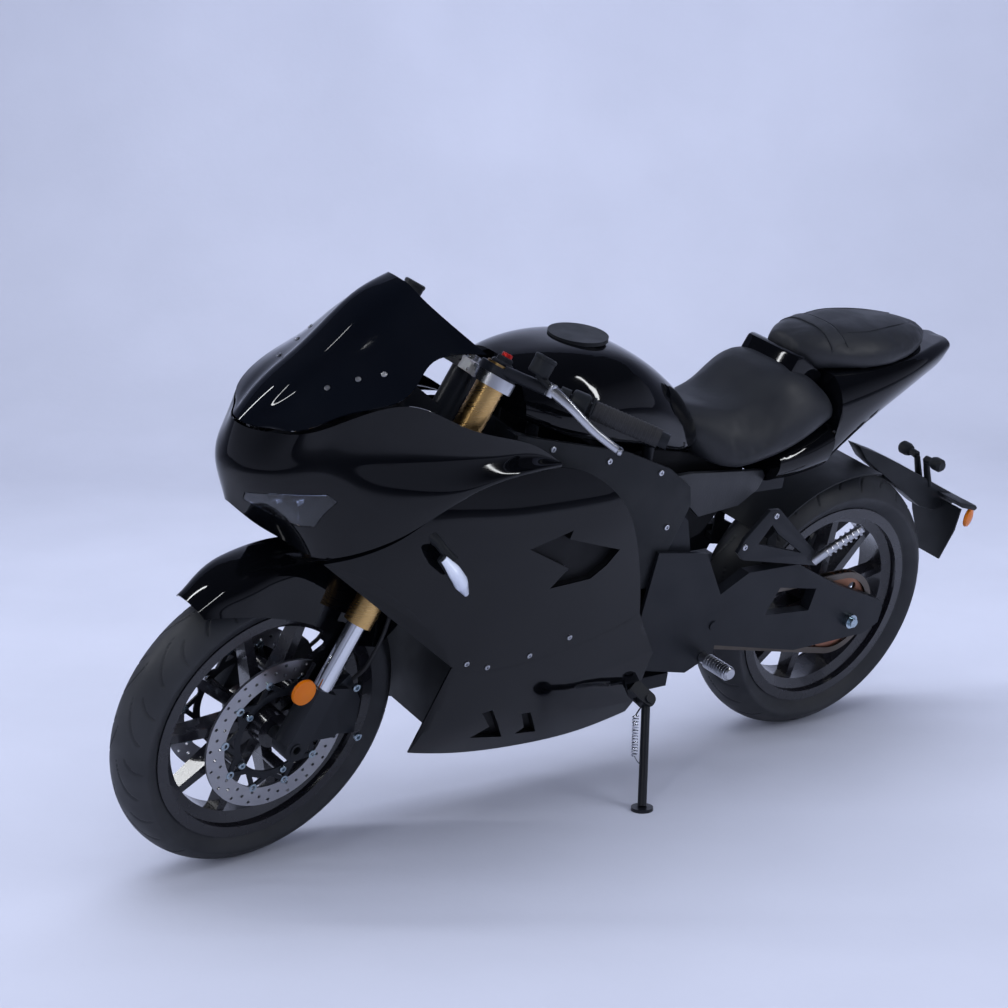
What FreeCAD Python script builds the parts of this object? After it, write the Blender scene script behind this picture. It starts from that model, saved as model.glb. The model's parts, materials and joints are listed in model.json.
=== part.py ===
import FreeCAD, Part
import math
import os

V = FreeCAD.Vector
UP = V(0, 0, 1)
LEFT = V(0, 1, 0)
FORWARD = V(1, 0, 0)

# A faired sport motorcycle on its side stand. Millimetres, X forward, Y left, Z up.
# It is drawn upright and steered straight ahead, with X zero above the rear axle, and each
# piece is then turned and leaned to the way the machine is parked.

# Stance
WHEELBASE = 1395.0
RAKE = 27.0
AXLE_OFFSET = 48.0
STEER_REST = 6.2
STEER_LOCK = 24.0
LEAN = 13.6
RUNNING_GAP = 0.3
FIT = 0.08

# Tyres and rims
FRONT_TYRE_R = 293.0
FRONT_TYRE_W = 110.0
FRONT_CROWN_R = 62.0
REAR_TYRE_R = 306.0
REAR_TYRE_W = 150.0
REAR_CROWN_R = 86.0
RIM_SEAT_R = 216.0
RIM_FLANGE_H = 16.0
RIM_WALL = 5.0
RIM_WELL_DEPTH = 20.0
FRONT_RIM_W = 84.0
REAR_RIM_W = 116.0
SPOKES = 10
SPOKE_W_HUB = 24.0
SPOKE_W_RIM = 17.0
SPOKE_D_HUB = 46.0
SPOKE_D_RIM = 30.0
FRONT_SPOKE_PHASE = 2.0
REAR_SPOKE_PHASE = -47.0
FRONT_HUB_R = 34.0
FRONT_HUB_W = 118.0
REAR_HUB_R = 42.0
REAR_HUB_W = 150.0

# Axles
FRONT_AXLE_R = 12.5
FRONT_AXLE_L = 262.0
REAR_AXLE_R = 10.0
REAR_AXLE_L = 296.0
AXLE_NUT_R = 16.0
AXLE_NUT_H = 13.0

# Brakes
DISC_R = 150.0
DISC_INNER_R = 112.0
DISC_T = 5.0
DISC_Y = 66.0
CARRIER_T = 6.0
CARRIER_ARM_W = 15.0
CARRIER_RING_R = 52.0
DISC_BUTTONS = 10
BUTTON_R = 8.0
REAR_DISC_R = 110.0
REAR_DISC_INNER_R = 62.0
REAR_DISC_Y = 86.0

# Chain drive
CHAIN_Y = 86.0
CHAIN_PITCH = 15.875
REAR_TEETH = 36
FRONT_TEETH = 15
SPROCKET_T = 7.0
CHAIN_ROLLER_R = 5.1
CHAIN_PLATE_H = 14.0
CHAIN_W = 18.0

# Fork
FORK_SPREAD = 216.0
OUTER_TUBE_R = 27.0
INNER_TUBE_R = 18.0
OUTER_TUBE_BOTTOM = 251.0
OUTER_TUBE_TOP = 776.0
INNER_TUBE_TOP = 420.0
FOOT_TOP = 118.0
FOOT_R = 30.0
FOOT_W = 42.0
LOWER_CLAMP_UP = 560.0
LOWER_CLAMP_H = 36.0
TOP_CLAMP_UP = 734.0
TOP_CLAMP_H = 22.0
STEM_R = 15.0
STEM_BORE_R = 8.0
HEAD_TUBE_R = 32.0
CLAMP_WALL = 12.0

# Handlebar
BAR_R = 11.0
GRIP_R = 17.0
GRIP_L = 128.0
BAR_INNER = V(52, 142, 770)
BAR_OUTER = V(-128, 356, 800)
BAR_RING_H = 16.0
BAR_END_R = 14.0
BAR_END_L = 16.0

# Frame and drive
PIVOT_TO_FRONT_AXLE = 980.0
PIVOT_Z = 369.0
PIVOT_R = 10.0
PIVOT_BOSS_R = 17.0
PIVOT_CAP_H = 3.0
ARM_INNER_Y = 101.0
ARM_T = 26.0
SPAR_Y = 92.0
SPAR_T = 26.0
PIVOT_PLATE_Y = 50.0
PIVOT_PLATE_T = 22.0
FOOT_PLATE_T = 8.0

# Panels
PANEL_WALL = 3.5
SCREEN_WALL = 3.0
FENDER_WALL = 3.0
DRAWING_PIVOT_X = 415.0


# More wheel and brake sizes
RIM_LIP = 4.0
RIM_SEAT_W = 17.0
RIM_WELL_SLOPE = 9.0
TYRE_WALL = 9.0
TYRE_BULGE = 0.62
SPOKE_SINK = 6.0
DISC_BOLT_R = 85.0
DISC_LUG_R = 11.0
BUTTON_PROUD = 1.5
CARRIER_STRUT_W = 9.0
AXLE_COLLAR = 4.0
TOOTH_H = 11.0
SPROCKET_HOLE_R = 66.0
SPROCKET_WINDOW_R = 11.0
SPROCKET_WINDOWS = 6
OUTPUT_AHEAD_OF_PIVOT = 78.0
OUTPUT_ABOVE_PIVOT = -12.0
CHAIN_GAP = 11.0
FRONT_AXLE_BORE = 8.0
CAP_H = 8.0
FOOT_SOCKET = 60.0
FOOT_EYE_R = 24.0
FOOT_WING_T = 12.0
STEM_NUT_H = 10.0
BAR_SINK = 14.0
BAR_RING_WALL = 9.0
SWITCH_GAP = 3.0
SWITCH_L = 34.0
SWITCH_R = 20.0
PERCH_L = 20.0
PERCH_R = 17.0
MASTER_FORE = 46.0
MASTER_R = 9.0
LEVER_TIP = V(-92, 318, 748)
LEVER_R = 6.0
LEVER_BALL_R = 9.0
RESERVOIR = V(42, 186, 809)
RESERVOIR_R = 20.0
RESERVOIR_H = 34.0
CALIPER_INNER_R = 106.0
CALIPER_OUTER_R = 168.0
CALIPER_SWEEP = 24.0
CALIPER_ANGLE = 140.0
DISC_GAP = 5.5
REFLECTOR_AT = (98.0, 108.0)
REFLECTOR_R = 25.0
REFLECTOR_T = 9.0
HOSE_R = 4.0
HOSE_ROUTE = [(-54.9, 66, 131), (-76, 68, 162), (-62, 80, 240), (-30, 84, 320), (-8, 74, 400), (20, 56, 480), (20, 56, 559.7)]
FENDER_ROWS = [
    (57, [(329, 0), (328, 14), (326, 27), (321, 38), (314, 46)]),
    (66, [(338, 0), (336, 26), (324, 50), (305, 61), (290, 66)]),
    (78, [(344, 0), (341, 30), (326, 57), (292, 68), (258, 71)]),
    (94, [(347, 0), (344, 30), (328, 58), (280, 70), (230, 73)]),
    (111, [(346, 0), (343, 30), (327, 58), (268, 71), (210, 74)]),
    (128, [(342, 0), (339, 30), (322, 58), (260, 71), (204, 73)]),
    (146, [(337, 0), (334, 30), (318, 57), (280, 69), (240, 71)]),
]
FENDER_STAY_T = 11.0
FENDER_PAD_T = 21.0
FENDER_PAD_UP = (192.0, 234.0)
FENDER_STAY = [(30, 70), (66, 70), (68, 234), (28, 234)]

# Frame outlines, (x, z) on the body drawing
NECK_HALF_W = 45.0
NECK_OUTLINE = [(1035, 890), (1072, 815), (985, 745), (880, 735), (880, 790), (985, 855)]
YOKE_OUTLINE = [(975, 845), (990, 750), (930, 730), (900, 800)]
SPAR_OUTLINE = [(985, 845), (1000, 770), (760, 640), (560, 480), (480, 480), (520, 610), (680, 740), (860, 805)]
MOTOR_REAR_X = 620.0
PIVOT_PLATE_OUTLINE = [(391, 500), (540, 500), (552, 470), (MOTOR_REAR_X - RUNNING_GAP, 470),
                       (MOTOR_REAR_X - RUNNING_GAP, 425), (552, 400), (552, 215), (470, 215), (405, 300),
                       (391, 330)]
FOOT_PLATE_OUTLINE = [(400, 420), (470, 540), (600, 560), (620, 400), (600, 300), (470, 270), (400, 300)]
SEAT_RAIL_Y = 60.0
SEAT_RAIL_W = 33.0
SEAT_RAIL_OUTLINE = [(640, 735), (640, 690), (450, 636), (250, 636), (250, 663.5), (503, 663.5), (600, 730)]
TIE_R = 14.0
ARM_SIDE_GAP = 3.0
NOSE_STAY = [(1055, 850), (1172, 938), (1290, 862), (1440, 842), (1488.6, 838), (1488.6, 818), (1430, 815), (1285, 828),
             (1180, 890), (1080, 815)]
NOSE_STAY_HALF_W = 15.0
TANK_PADS = [(900, 60, 790, 850), (620, 76, 700, 775)]
PAD_R = 12.0
FRAME_TIES = [(505, 495), (535, 300)]
MOTOR_HALF_W = 84.0
MOTOR_FRONT_X = 1050.0
MOTOR_OUTLINE = [(MOTOR_REAR_X, 235), (1010, 215), (MOTOR_FRONT_X, 260), (MOTOR_FRONT_X, 570), (980, 640), (700, 590),
                 (MOTOR_REAR_X, 500)]
ARM_OUTLINE = [(-104, 318), (-100, 282), (-60, 262), (150, 258), (440, 325), (460, 370), (430, 415),
               (330, 470), (190, 468), (60, 400), (-92, 338)]
ARM_WINDOW = [(120, 400), (130, 350), (260, 360), (230, 420)]
REAR_CALIPER_ANGLE = 140.0

# Bodywork
SEAM = 1.0
LENS_FROM_X = 1300.0
LENS_DEPTH = 260.0
LENS_OUTLINE = [(40, 752), (45, 772), (110, 782), (165, 790), (168, 776), (120, 748)]
NOSE_ROWS = [
    [(1488, 0, 879), (1480, 40, 880), (1466, 68, 882), (1430, 110, 893), (1364, 142, 924),
     (1262, 172, 955), (1150, 190, 902), (1060, 190, 873), (990, 182, 848), (918, 172, 800)],
    [(1496, 0, 830), (1486, 45, 832), (1460, 88, 836), (1412, 132, 846), (1340, 168, 862),
     (1250, 190, 868), (1160, 202, 850), (1070, 204, 835), (995, 200, 822), (925, 185, 796)],
    [(1498, 0, 780), (1488, 48, 782), (1456, 98, 786), (1400, 145, 794), (1330, 180, 800),
     (1250, 202, 804), (1165, 212, 806), (1080, 214, 806), (1000, 208, 802), (932, 192, 792)],
    [(1492, 0, 728), (1474, 42, 722), (1436, 86, 714), (1380, 130, 704), (1320, 168, 710),
     (1250, 196, 742), (1168, 208, 768), (1084, 210, 782), (1004, 205, 788), (936, 192, 789)],
]
SCREEN_ROWS = [
    [(1492, 0, 888), (1489, 25, 888), (1483, 48, 888), (1474, 68, 889)],
    [(1450, 0, 943), (1447, 40, 942), (1440, 72, 928), (1430, 110, 901)],
    [(1385, 0, 995), (1383, 42, 994), (1374, 92, 968), (1362, 144, 933)],
    [(1315, 0, 1046), (1313, 48, 1045), (1300, 108, 1010), (1275, 168, 966)],
    [(1250, 0, 1092), (1248, 50, 1090), (1225, 120, 1050), (1205, 172, 1008)],
    [(1196, 0, 1112), (1190, 50, 1108), (1150, 120, 1062), (1100, 160, 1022)],
]
SIDE_LEVELS = [880, 800, 730, 640, 540, 440, 340, 240, 150]
SIDE_ROWS = [
    (1420, [80, 120, 130, 130, 125, 120, 110, 90, 60]),
    (1320, [130, 175, 190, 192, 188, 180, 165, 140, 100]),
    (1200, [160, 196, 215, 218, 212, 200, 182, 152, 108]),
    (1060, [175, 208, 224, 226, 218, 203, 180, 146, 98]),
    (900, [175, 205, 220, 224, 214, 198, 174, 140, 92]),
    (760, [165, 190, 208, 214, 206, 192, 168, 136, 90]),
    (600, [140, 160, 178, 190, 188, 178, 158, 128, 84]),
]
SIDE_REACH_Y = 320.0
SIDE_OUTLINE = [(1340, 650), (1308, 621), (1221, 535), (1130, 452), (1048, 417), (901, 427),
                (819, 425), (671, 469), (643, 473), (691, 582), (705, 600), (769, 723), (839, 770), (936, 787.7),
                (1004, 786.7), (1084, 780.7), (1168, 766.7), (1250, 740.7), (1320, 708.7), (1350, 702)]
BELLY_OUTLINE = [(1129, 451), (1048, 416), (901, 426), (819, 424), (671, 468), (690, 360), (675, 242),
                 (620, 175), (892, 160), (1140, 180), (1150, 228), (1120, 300), (1104, 400)]
INNER_HALF_W = 128.0
INNER_T = 8.0
INNER_Z = (235.0, 590.0)
TANK_SECTIONS = [
    (966, [(0, 958), (60, 950), (103, 915), (118, 885), (95, 868), (0, 866)]),
    (900, [(0, 972), (75, 962), (130, 915), (148, 865), (110, 840), (0, 838)]),
    (790, [(0, 975), (85, 965), (140, 915), (158, 850), (120, 812), (0, 810)]),
    (690, [(0, 955), (85, 945), (135, 895), (150, 830), (115, 790), (0, 788)]),
    (600, [(0, 905), (75, 893), (115, 850), (125, 800), (100, 762), (0, 760)]),
    (540, [(0, 860), (60, 848), (95, 815), (105, 780), (85, 748), (0, 746)]),
    (518, [(0, 838), (50, 828), (84, 800), (92, 775), (72, 748), (0, 746)]),
]
TANK_CAP = V(777, 0, 973)
CAP_R = 58.0
CAP_PROUD = 8.0
COVER_T = 10.0
COVER_OUTLINE = [(985, 828), (940, 800), (850, 775), (780, 735), (716, 610), (650, 480), (600, 480),
                 (560, 600), (530, 650), (540, 690), (600, 735), (717, 784), (860, 812), (985, 846)]
RIDER_SECTIONS = [
    (510, [(0, 815), (40, 812), (68, 795), (75, 770), (60, 745), (0, 744)]),
    (450, [(0, 812), (70, 808), (115, 780), (130, 740), (115, 714), (0, 712)]),
    (380, [(0, 818), (90, 815), (140, 785), (152, 747), (135, 722), (0, 720)]),
    (300, [(0, 835), (95, 830), (145, 800), (155, 766), (138, 744), (0, 742)]),
    (230, [(0, 872), (90, 862), (140, 822), (148, 794), (130, 774), (0, 772)]),
    (190, [(0, 878), (80, 868), (128, 828), (132, 808), (115, 792), (0, 790)]),
]
PILLION_SECTIONS = [
    (250, [(0, 940), (70, 932), (105, 908), (106, 895), (90, 884), (0, 883)]),
    (150, [(0, 958), (80, 950), (118, 920), (118, 903), (100, 889), (0, 888)]),
    (0, [(0, 958), (75, 950), (105, 925), (105, 910), (90, 897), (0, 896)]),
    (-100, [(0, 950), (50, 943), (70, 928), (72, 917), (60, 906), (0, 905)]),
    (-145, [(0, 938), (25, 934), (40, 925), (40, 918), (30, 911), (0, 910)]),
]
TAIL_FRONT_SECTIONS = [
    (500, [(0, 736), (50, 734), (70, 715), (68, 690), (55, 672), (0, 670)]),
    (400, [(0, 704), (100, 702), (130, 692), (128, 682), (110, 668), (0, 666)]),
    (300, [(0, 730), (120, 729), (142, 715), (138, 690), (115, 668), (0, 666)]),
    (184, [(0, 782), (115, 780), (145, 762), (145, 725), (125, 692), (0, 690)]),
]
TAIL_SECTIONS = [
    (186, [(0, 888), (98, 884), (140, 846), (148, 770), (125, 692), (0, 690)]),
    (80, [(0, 893), (98, 890), (132, 854), (132, 795), (110, 754), (0, 752)]),
    (-60, [(0, 899), (82, 896), (107, 872), (102, 838), (85, 814), (0, 812)]),
    (-160, [(0, 904), (56, 901), (73, 886), (68, 865), (55, 852), (0, 850)]),
    (-232, [(0, 903), (26, 902), (36, 896), (34, 888), (25, 881), (0, 880)]),
]
DECK_ROOM_Z = 1100.0
SEAT_GAP = 0.4
DECK_LINE = [(560, 745), (455, 711), (400, 706), (300, 732), (184, 784), (184, 881), (80, 885), (-60, 893),
             (-160, 901), (-300, 907)]
TAIL_LAMP_AT = (-232.0, 892.0)
TAIL_LAMP_HALF_W = 24.0
HUGGER_HALF_W = 84.0
HUGGER_GAP = 16.0
HUGGER_WALL = 3.0
HUGGER_ANGLES = (40, 60, 80, 100)
HUGGER_FLANGE = [(228, 534), (250, 517), (250, 440), (215, 440)]
HUGGER_TAB = [(215, 440), (250, 440), (252, 455), (217, 455)]
HUGGER_FLANGE_T = 3.5
PLATE_HALF_W = 90.0
PLATE_ARM = [(-60, 290), (-20, 330), (-250, 520), (-330, 640), (-350, 630), (-290, 500)]
PLATE_BRIDGE = [(-330, 640), (-350, 640), (-330, 560), (-322, 560)]
FRONT_INDICATOR_ROOT = V(1200, 222, 712)
FRONT_INDICATOR_TIP = V(1170, 300, 660)
INDICATOR_R = 12.0
REAR_INDICATOR_ROOT = V(-338, 50, 640 + INDICATOR_R + 0.1)
REAR_INDICATOR_TIP = V(-338, 150, 640 + INDICATOR_R + 0.1)
PANEL_HALF_W = 75.0
PANEL_OUTLINE = [(1170, 960), (1190, 950), (1225, 1020), (1205, 1030)]
PEG_R = 14.0
PEG_L = 88.0
RIDER_PEG_AT = (430.0, 300.0)
HANGER_T = 10.0
HANGER_OUTLINE = [(378, 652), (300, 652), (160, 490), (180, 480), (378, 530)]
STAND_PIVOT = V(574, 150, 234)
STAND_DOWN_DIR = (74, 123, -169)
STAND_FOLDED_DIR = (-0.98, 0.12, 0.12)
STAND_LEG_R = 9.0
STAND_EYE_R = 16.0
STAND_EYE_T = 10.0
STAND_PAD_R = 22.0
STAND_PAD_T = 7.0
STAND_BOLT_R = 5.0
STAND_HEAD_R = 9.0
STAND_HEAD_H = 4.0
EAR_R = 14.0
EAR_T = 6.0
EAR_GAP = 0.4
EAR_BACK = (22.0, 44.0)
STAND_ARM = [(500, 238), (596, 238), (610, 268), (500, 268)]
STAND_ARM_Y = (50.0, 122.0)
PITCH_STEPS = 6
POLE_PASSES = 8


def radians(angle):
    return math.radians(angle)


def box(x_range, y_range, z_range):
    corner = V(min(x_range), min(y_range), min(z_range))
    size = [max(r) - min(r) for r in (x_range, y_range, z_range)]
    return Part.makeBox(size[0], size[1], size[2], corner)


def rod(start, end, radius):
    axis = end - start
    return Part.makeCylinder(radius, axis.Length, start, axis)


def pipe(start, end, radius, bore):
    return rod(start, end, radius).cut(rod(start, end, bore))


def cross_bar(x, z, y_range, radius):
    return rod(V(x, min(y_range), z), V(x, max(y_range), z), radius)


def mirrored(shape):
    return shape.mirror(V(0, 0, 0), LEFT)


def pair(shape):
    return Part.makeCompound([shape, mirrored(shape)])


def fused(shapes):
    first = shapes[0]
    whole = first.multiFuse(shapes[1:]) if len(shapes) > 1 else first
    return whole.removeSplitter()


def polygon(points):
    return Part.Face(Part.makePolygon(points + [points[0]]))


def side_plate(outline, y_range):
    """A plate cut to an outline of (x, z) points, as thick as its y range."""
    low = min(y_range)
    face = polygon([V(x, low, z) for x, z in outline])
    return face.extrude(V(0, max(y_range) - low, 0))


def smooth_plate(outline, y_range):
    """The same, with a closed smooth curve through the outline's points."""
    low = min(y_range)
    curve = Part.BSplineCurve()
    curve.interpolate(Points=[V(x, low, z) for x, z in outline], PeriodicFlag=True)
    face = Part.Face(Part.Wire(curve.toShape()))
    return face.extrude(V(0, max(y_range) - low, 0))


def turned(profile):
    """A ring about Y, from a closed profile of (radius, y) points."""
    face = polygon([V(r, y, 0) for r, y in profile])
    return face.revolve(V(0, 0, 0), LEFT, 360)


def ring(outer, inner, y_range):
    body = cross_bar(0, 0, y_range, outer)
    return body.cut(cross_bar(0, 0, y_range, inner))


def around(shape, count, centre=V(0, 0, 0), phase=0.0):
    step = 360.0 / count
    copies = []
    for index in range(count):
        copy = shape.copy()
        copy.rotate(centre, V(0, -1, 0), phase + index * step)
        copies.append(copy)
    return copies


def placed(shape, place):
    copy = shape.copy()
    copy.translate(place)
    return copy


def full_row(half):
    """A row across the machine, from its points between the middle and the left edge."""
    return [V(p.x, -p.y, p.z) for p in reversed(half[1:])] + half


def grid_normals(rows):
    normals = []
    for i, row in enumerate(rows):
        line = []
        for j in range(len(row)):
            before = rows[max(i - 1, 0)][j]
            after = rows[min(i + 1, len(rows) - 1)][j]
            left = row[max(j - 1, 0)]
            right = row[min(j + 1, len(row) - 1)]
            normal = (after - before).cross(right - left)
            line.append(normal.normalize())
        normals.append(line)
    return normals


def knots_for(count, degree, closed):
    """Knots and their multiplicities, and the parameter that goes with each pole."""
    if closed:
        return list(range(count + 1)), [1] * (count + 1), [(index - 1) % count for index in range(count)]
    spans = count - degree
    flat = [0] * degree + list(range(spans + 1)) + [spans] * degree
    places = [sum(flat[index + 1:index + degree + 1]) / degree for index in range(count)]
    return list(range(spans + 1)), [degree + 1] + [1] * (spans - 1) + [degree + 1], places


def smooth_face(rows, closed=False):
    """A smooth face through rows of points, each row open or run right round a body."""
    degree = min(3, len(rows) - 1)
    knots_u, mults_u, places_u = knots_for(len(rows), degree, False)
    knots_v, mults_v, places_v = knots_for(len(rows[0]), 3, closed)
    poles = [list(row) for row in rows]
    surface = Part.BSplineSurface()
    for _ in range(POLE_PASSES):
        surface.buildFromPolesMultsKnots(poles, mults_u, mults_v, knots_u, knots_v, False, closed, degree, 3)
        for i, row in enumerate(rows):
            for j, point in enumerate(row):
                poles[i][j] = poles[i][j] + point - surface.value(places_u[i], places_v[j])
    return surface.toShape()


def solid_of(faces):
    shell = Part.makeShell(faces)
    shell.sewShape()
    solid = Part.makeSolid(shell)
    if solid.Volume < 0:
        solid.reverse()
    return solid


def skin(rows, wall):
    """A moulded panel: a smooth face through rows of points, and a second one inside it."""
    normals = grid_normals(rows)
    inner_rows = []
    for row, line in zip(rows, normals):
        inner_rows.append([p + n * wall for p, n in zip(row, line)])
    outer = smooth_face(rows)
    inner = smooth_face(inner_rows)
    faces = [outer, inner]
    for edge, match in zip(outer.Edges, inner.Edges):
        faces.append(Part.makeRuledSurface(edge, match))
    return solid_of(faces)


def body_loft(sections):
    """A closed body through sections (x, [(y, z), ...]) given from the top middle down the
    left side to the bottom middle."""
    rows = []
    for x, half in sections:
        left = [V(x, y, z) for y, z in half]
        right = [V(x, -y, z) for y, z in reversed(half[1:-1])]
        rows.append(left + right)
    side = smooth_face(rows, True)
    caps = [Part.Face(Part.Wire([edge])) for edge in side.Edges if edge.isClosed()]
    return solid_of([side] + caps)


def moved(shape, placement):
    copy = shape.copy()
    copy.Placement = placement.multiply(copy.Placement)
    return copy


# Reference points that the sizes give
PIVOT_X = WHEELBASE - PIVOT_TO_FRONT_AXLE
BODY_SHIFT = V(PIVOT_X - DRAWING_PIVOT_X, 0, 0)
FRONT_AXLE = V(WHEELBASE, 0, FRONT_TYRE_R)
REAR_AXLE = V(0, 0, REAR_TYRE_R)
STEER_DIR = V(-math.sin(radians(RAKE)), 0, math.cos(radians(RAKE)))
STEER_FORE = V(math.cos(radians(RAKE)), 0, math.sin(radians(RAKE)))
STEER_FOOT = FRONT_AXLE - STEER_FORE * AXLE_OFFSET
FORK_PLACE = FreeCAD.Placement(STEER_FOOT, FreeCAD.Rotation(LEFT, -RAKE))
LEG_Y = FORK_SPREAD / 2


def fork_point(fore, y, up):
    return STEER_FOOT + STEER_FORE * fore + V(0, y, 0) + STEER_DIR * up


def in_fork(shape):
    """Places a piece drawn in fork axes: X fore, Z up along the steering axis."""
    return moved(shape, FORK_PLACE)


def on_body(shape):
    """Places a piece drawn on the body drawing."""
    return placed(shape, BODY_SHIFT)


def tyre(radius, width, crown, rim_width):
    half = width / 2
    shoulder = radius - crown + math.sqrt(crown ** 2 - half ** 2)
    bead = rim_width / 2 - RIM_LIP - FIT
    lip = RIM_SEAT_R + RIM_FLANGE_H
    seat = RIM_SEAT_R + FIT
    inner_half = half - TYRE_WALL
    bulge = (shoulder + lip) / 2
    belly = bead + (half - bead) * TYRE_BULGE

    def arc(a, b, c):
        return Part.Arc(V(a[0], a[1], 0), V(b[0], b[1], 0), V(c[0], c[1], 0)).toShape()

    def line(a, b):
        return Part.makeLine(V(a[0], a[1], 0), V(b[0], b[1], 0))

    edges = [
        arc((shoulder, -half), (radius, 0), (shoulder, half)),
        arc((shoulder, half), (bulge, belly), (lip, bead)),
        line((lip, bead), (seat, bead)),
        line((seat, bead), (seat, bead - TYRE_WALL)),
        line((seat, bead - TYRE_WALL), (shoulder, inner_half)),
        arc((shoulder, inner_half), (radius - TYRE_WALL, 0), (shoulder, -inner_half)),
        line((shoulder, -inner_half), (seat, TYRE_WALL - bead)),
        line((seat, TYRE_WALL - bead), (seat, -bead)),
        line((seat, -bead), (lip, -bead)),
        arc((lip, -bead), (bulge, -belly), (shoulder, -half)),
    ]
    face = Part.Face(Part.Wire(edges))
    return face.revolve(V(0, 0, 0), LEFT, 360)


def spoke(hub_radius, end_radius):
    sections = []
    for r, w, d in ((hub_radius, SPOKE_W_HUB, SPOKE_D_HUB), (end_radius, SPOKE_W_RIM, SPOKE_D_RIM)):
        corners = [V(r, -d / 2, -w / 2), V(r, d / 2, -w / 2), V(r, d / 2, w / 2), V(r, -d / 2, w / 2)]
        sections.append(Part.makePolygon(corners + [corners[0]]))
    return Part.makeLoft(sections, True, True)


def rim(width, phase, hub_radius, hub_width, bore):
    half = width / 2
    lip = RIM_SEAT_R + RIM_FLANGE_H
    well = RIM_SEAT_R - RIM_WELL_DEPTH
    seat_half = half - RIM_LIP - RIM_SEAT_W
    well_half = seat_half - RIM_WELL_SLOPE
    outer = [(lip, half), (lip, half - RIM_LIP), (RIM_SEAT_R, half - RIM_LIP), (RIM_SEAT_R, seat_half),
             (well, well_half)]
    inner = [(RIM_SEAT_R - RIM_WALL, half), (RIM_SEAT_R - RIM_WALL, seat_half + RIM_WALL),
             (well - RIM_WALL, well_half + RIM_WALL)]
    profile = outer + [(r, -y) for r, y in reversed(outer)]
    profile += [(r, -y) for r, y in inner] + [(r, y) for r, y in reversed(inner)]
    barrel = turned(profile)
    hub = cross_bar(0, 0, (-hub_width / 2, hub_width / 2), hub_radius)
    arms = around(spoke(hub_radius - SPOKE_SINK, well - RIM_WALL / 2), SPOKES, phase=phase)
    wheel = fused([barrel, hub] + arms)
    return wheel.cut(cross_bar(0, 0, (-hub_width, hub_width), bore))


def front_rim():
    casting = rim(FRONT_RIM_W, FRONT_SPOKE_PHASE, FRONT_HUB_R, FRONT_HUB_W, FRONT_AXLE_R + FIT)
    reach = DISC_Y - CARRIER_T / 2
    lug = rod(V(DISC_BOLT_R, -reach, 0), V(DISC_BOLT_R, reach, 0), DISC_LUG_R)
    step = 360.0 / SPOKES
    lugs = around(lug, SPOKES // 2, phase=FRONT_SPOKE_PHASE + step)
    return placed(fused([casting] + lugs), FRONT_AXLE)


def rear_rim():
    casting = rim(REAR_RIM_W, REAR_SPOKE_PHASE, REAR_HUB_R, REAR_HUB_W, REAR_AXLE_R + FIT)
    return placed(casting, REAR_AXLE)


def brake_disc(outer, inner, thickness, y):
    return ring(outer, inner, (y - thickness / 2, y + thickness / 2))


def front_discs():
    """Both rings with their carriers, joined by the floating buttons."""
    low = DISC_Y - CARRIER_T / 2
    high = DISC_Y + CARRIER_T / 2
    rotor = brake_disc(DISC_R, DISC_INNER_R, DISC_T, DISC_Y)
    inner_ring = ring(DISC_BOLT_R + CARRIER_ARM_W / 2, DISC_BOLT_R - CARRIER_ARM_W / 2, (low, high))
    button_r = DISC_INNER_R
    button = rod(V(button_r, low - BUTTON_PROUD, 0), V(button_r, high + BUTTON_PROUD, 0), BUTTON_R)
    arms = []
    half_step = 180.0 / DISC_BUTTONS
    for lean in (-half_step, half_step):
        foot = V(DISC_BOLT_R * math.cos(radians(lean)), 0, DISC_BOLT_R * math.sin(radians(lean)))
        head = V(button_r, 0, 0)
        along = (head - foot).normalize()
        side = along.cross(LEFT) * (CARRIER_STRUT_W / 2)
        outline = [foot - side, head - side, head + side, foot + side]
        face = polygon([V(p.x, low, p.z) for p in outline])
        arms.append(face.extrude(V(0, high - low, 0)))
    parts = [rotor, inner_ring]
    for piece in arms + [button]:
        parts += around(piece, DISC_BUTTONS, phase=FRONT_SPOKE_PHASE)
    left = fused(parts)
    return placed(pair(left), FRONT_AXLE)


def rear_disc():
    rotor = brake_disc(REAR_DISC_R, REAR_DISC_INNER_R, DISC_T, -REAR_DISC_Y)
    carrier = ring(REAR_DISC_INNER_R + CARRIER_T, REAR_AXLE_R + AXLE_COLLAR, (-REAR_DISC_Y - CARRIER_T / 2,
                                                                             -REAR_HUB_W / 2))
    return placed(fused([rotor, carrier]), REAR_AXLE)


def pitch_radius(teeth):
    return CHAIN_PITCH / (2 * math.sin(math.pi / teeth))


def sprocket(teeth, bore, y_range):
    radius = pitch_radius(teeth)
    tip = radius + TOOTH_H / 2
    root = radius - TOOTH_H / 2
    outline = []
    for index in range(teeth):
        for share, r in ((-0.30, root), (-0.12, tip), (0.12, tip), (0.30, root)):
            angle = 2 * math.pi * (index + 0.5 + share) / teeth
            outline.append((r * math.cos(angle), r * math.sin(angle)))
    blank = side_plate(outline, y_range)
    return blank.cut(cross_bar(0, 0, y_range, bore))


def rear_sprocket():
    half = SPROCKET_T / 2
    wheel = sprocket(REAR_TEETH, REAR_HUB_R, (CHAIN_Y - half, CHAIN_Y + half))
    window = cross_bar(SPROCKET_HOLE_R, 0, (0, 2 * CHAIN_Y), SPROCKET_WINDOW_R)
    wheel = wheel.cut(fused(around(window, SPROCKET_WINDOWS)))
    carrier = ring(REAR_HUB_R + CARRIER_T, REAR_AXLE_R + AXLE_COLLAR, (REAR_HUB_W / 2, CHAIN_Y + half))
    return placed(fused([wheel, carrier]), REAR_AXLE)


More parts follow.
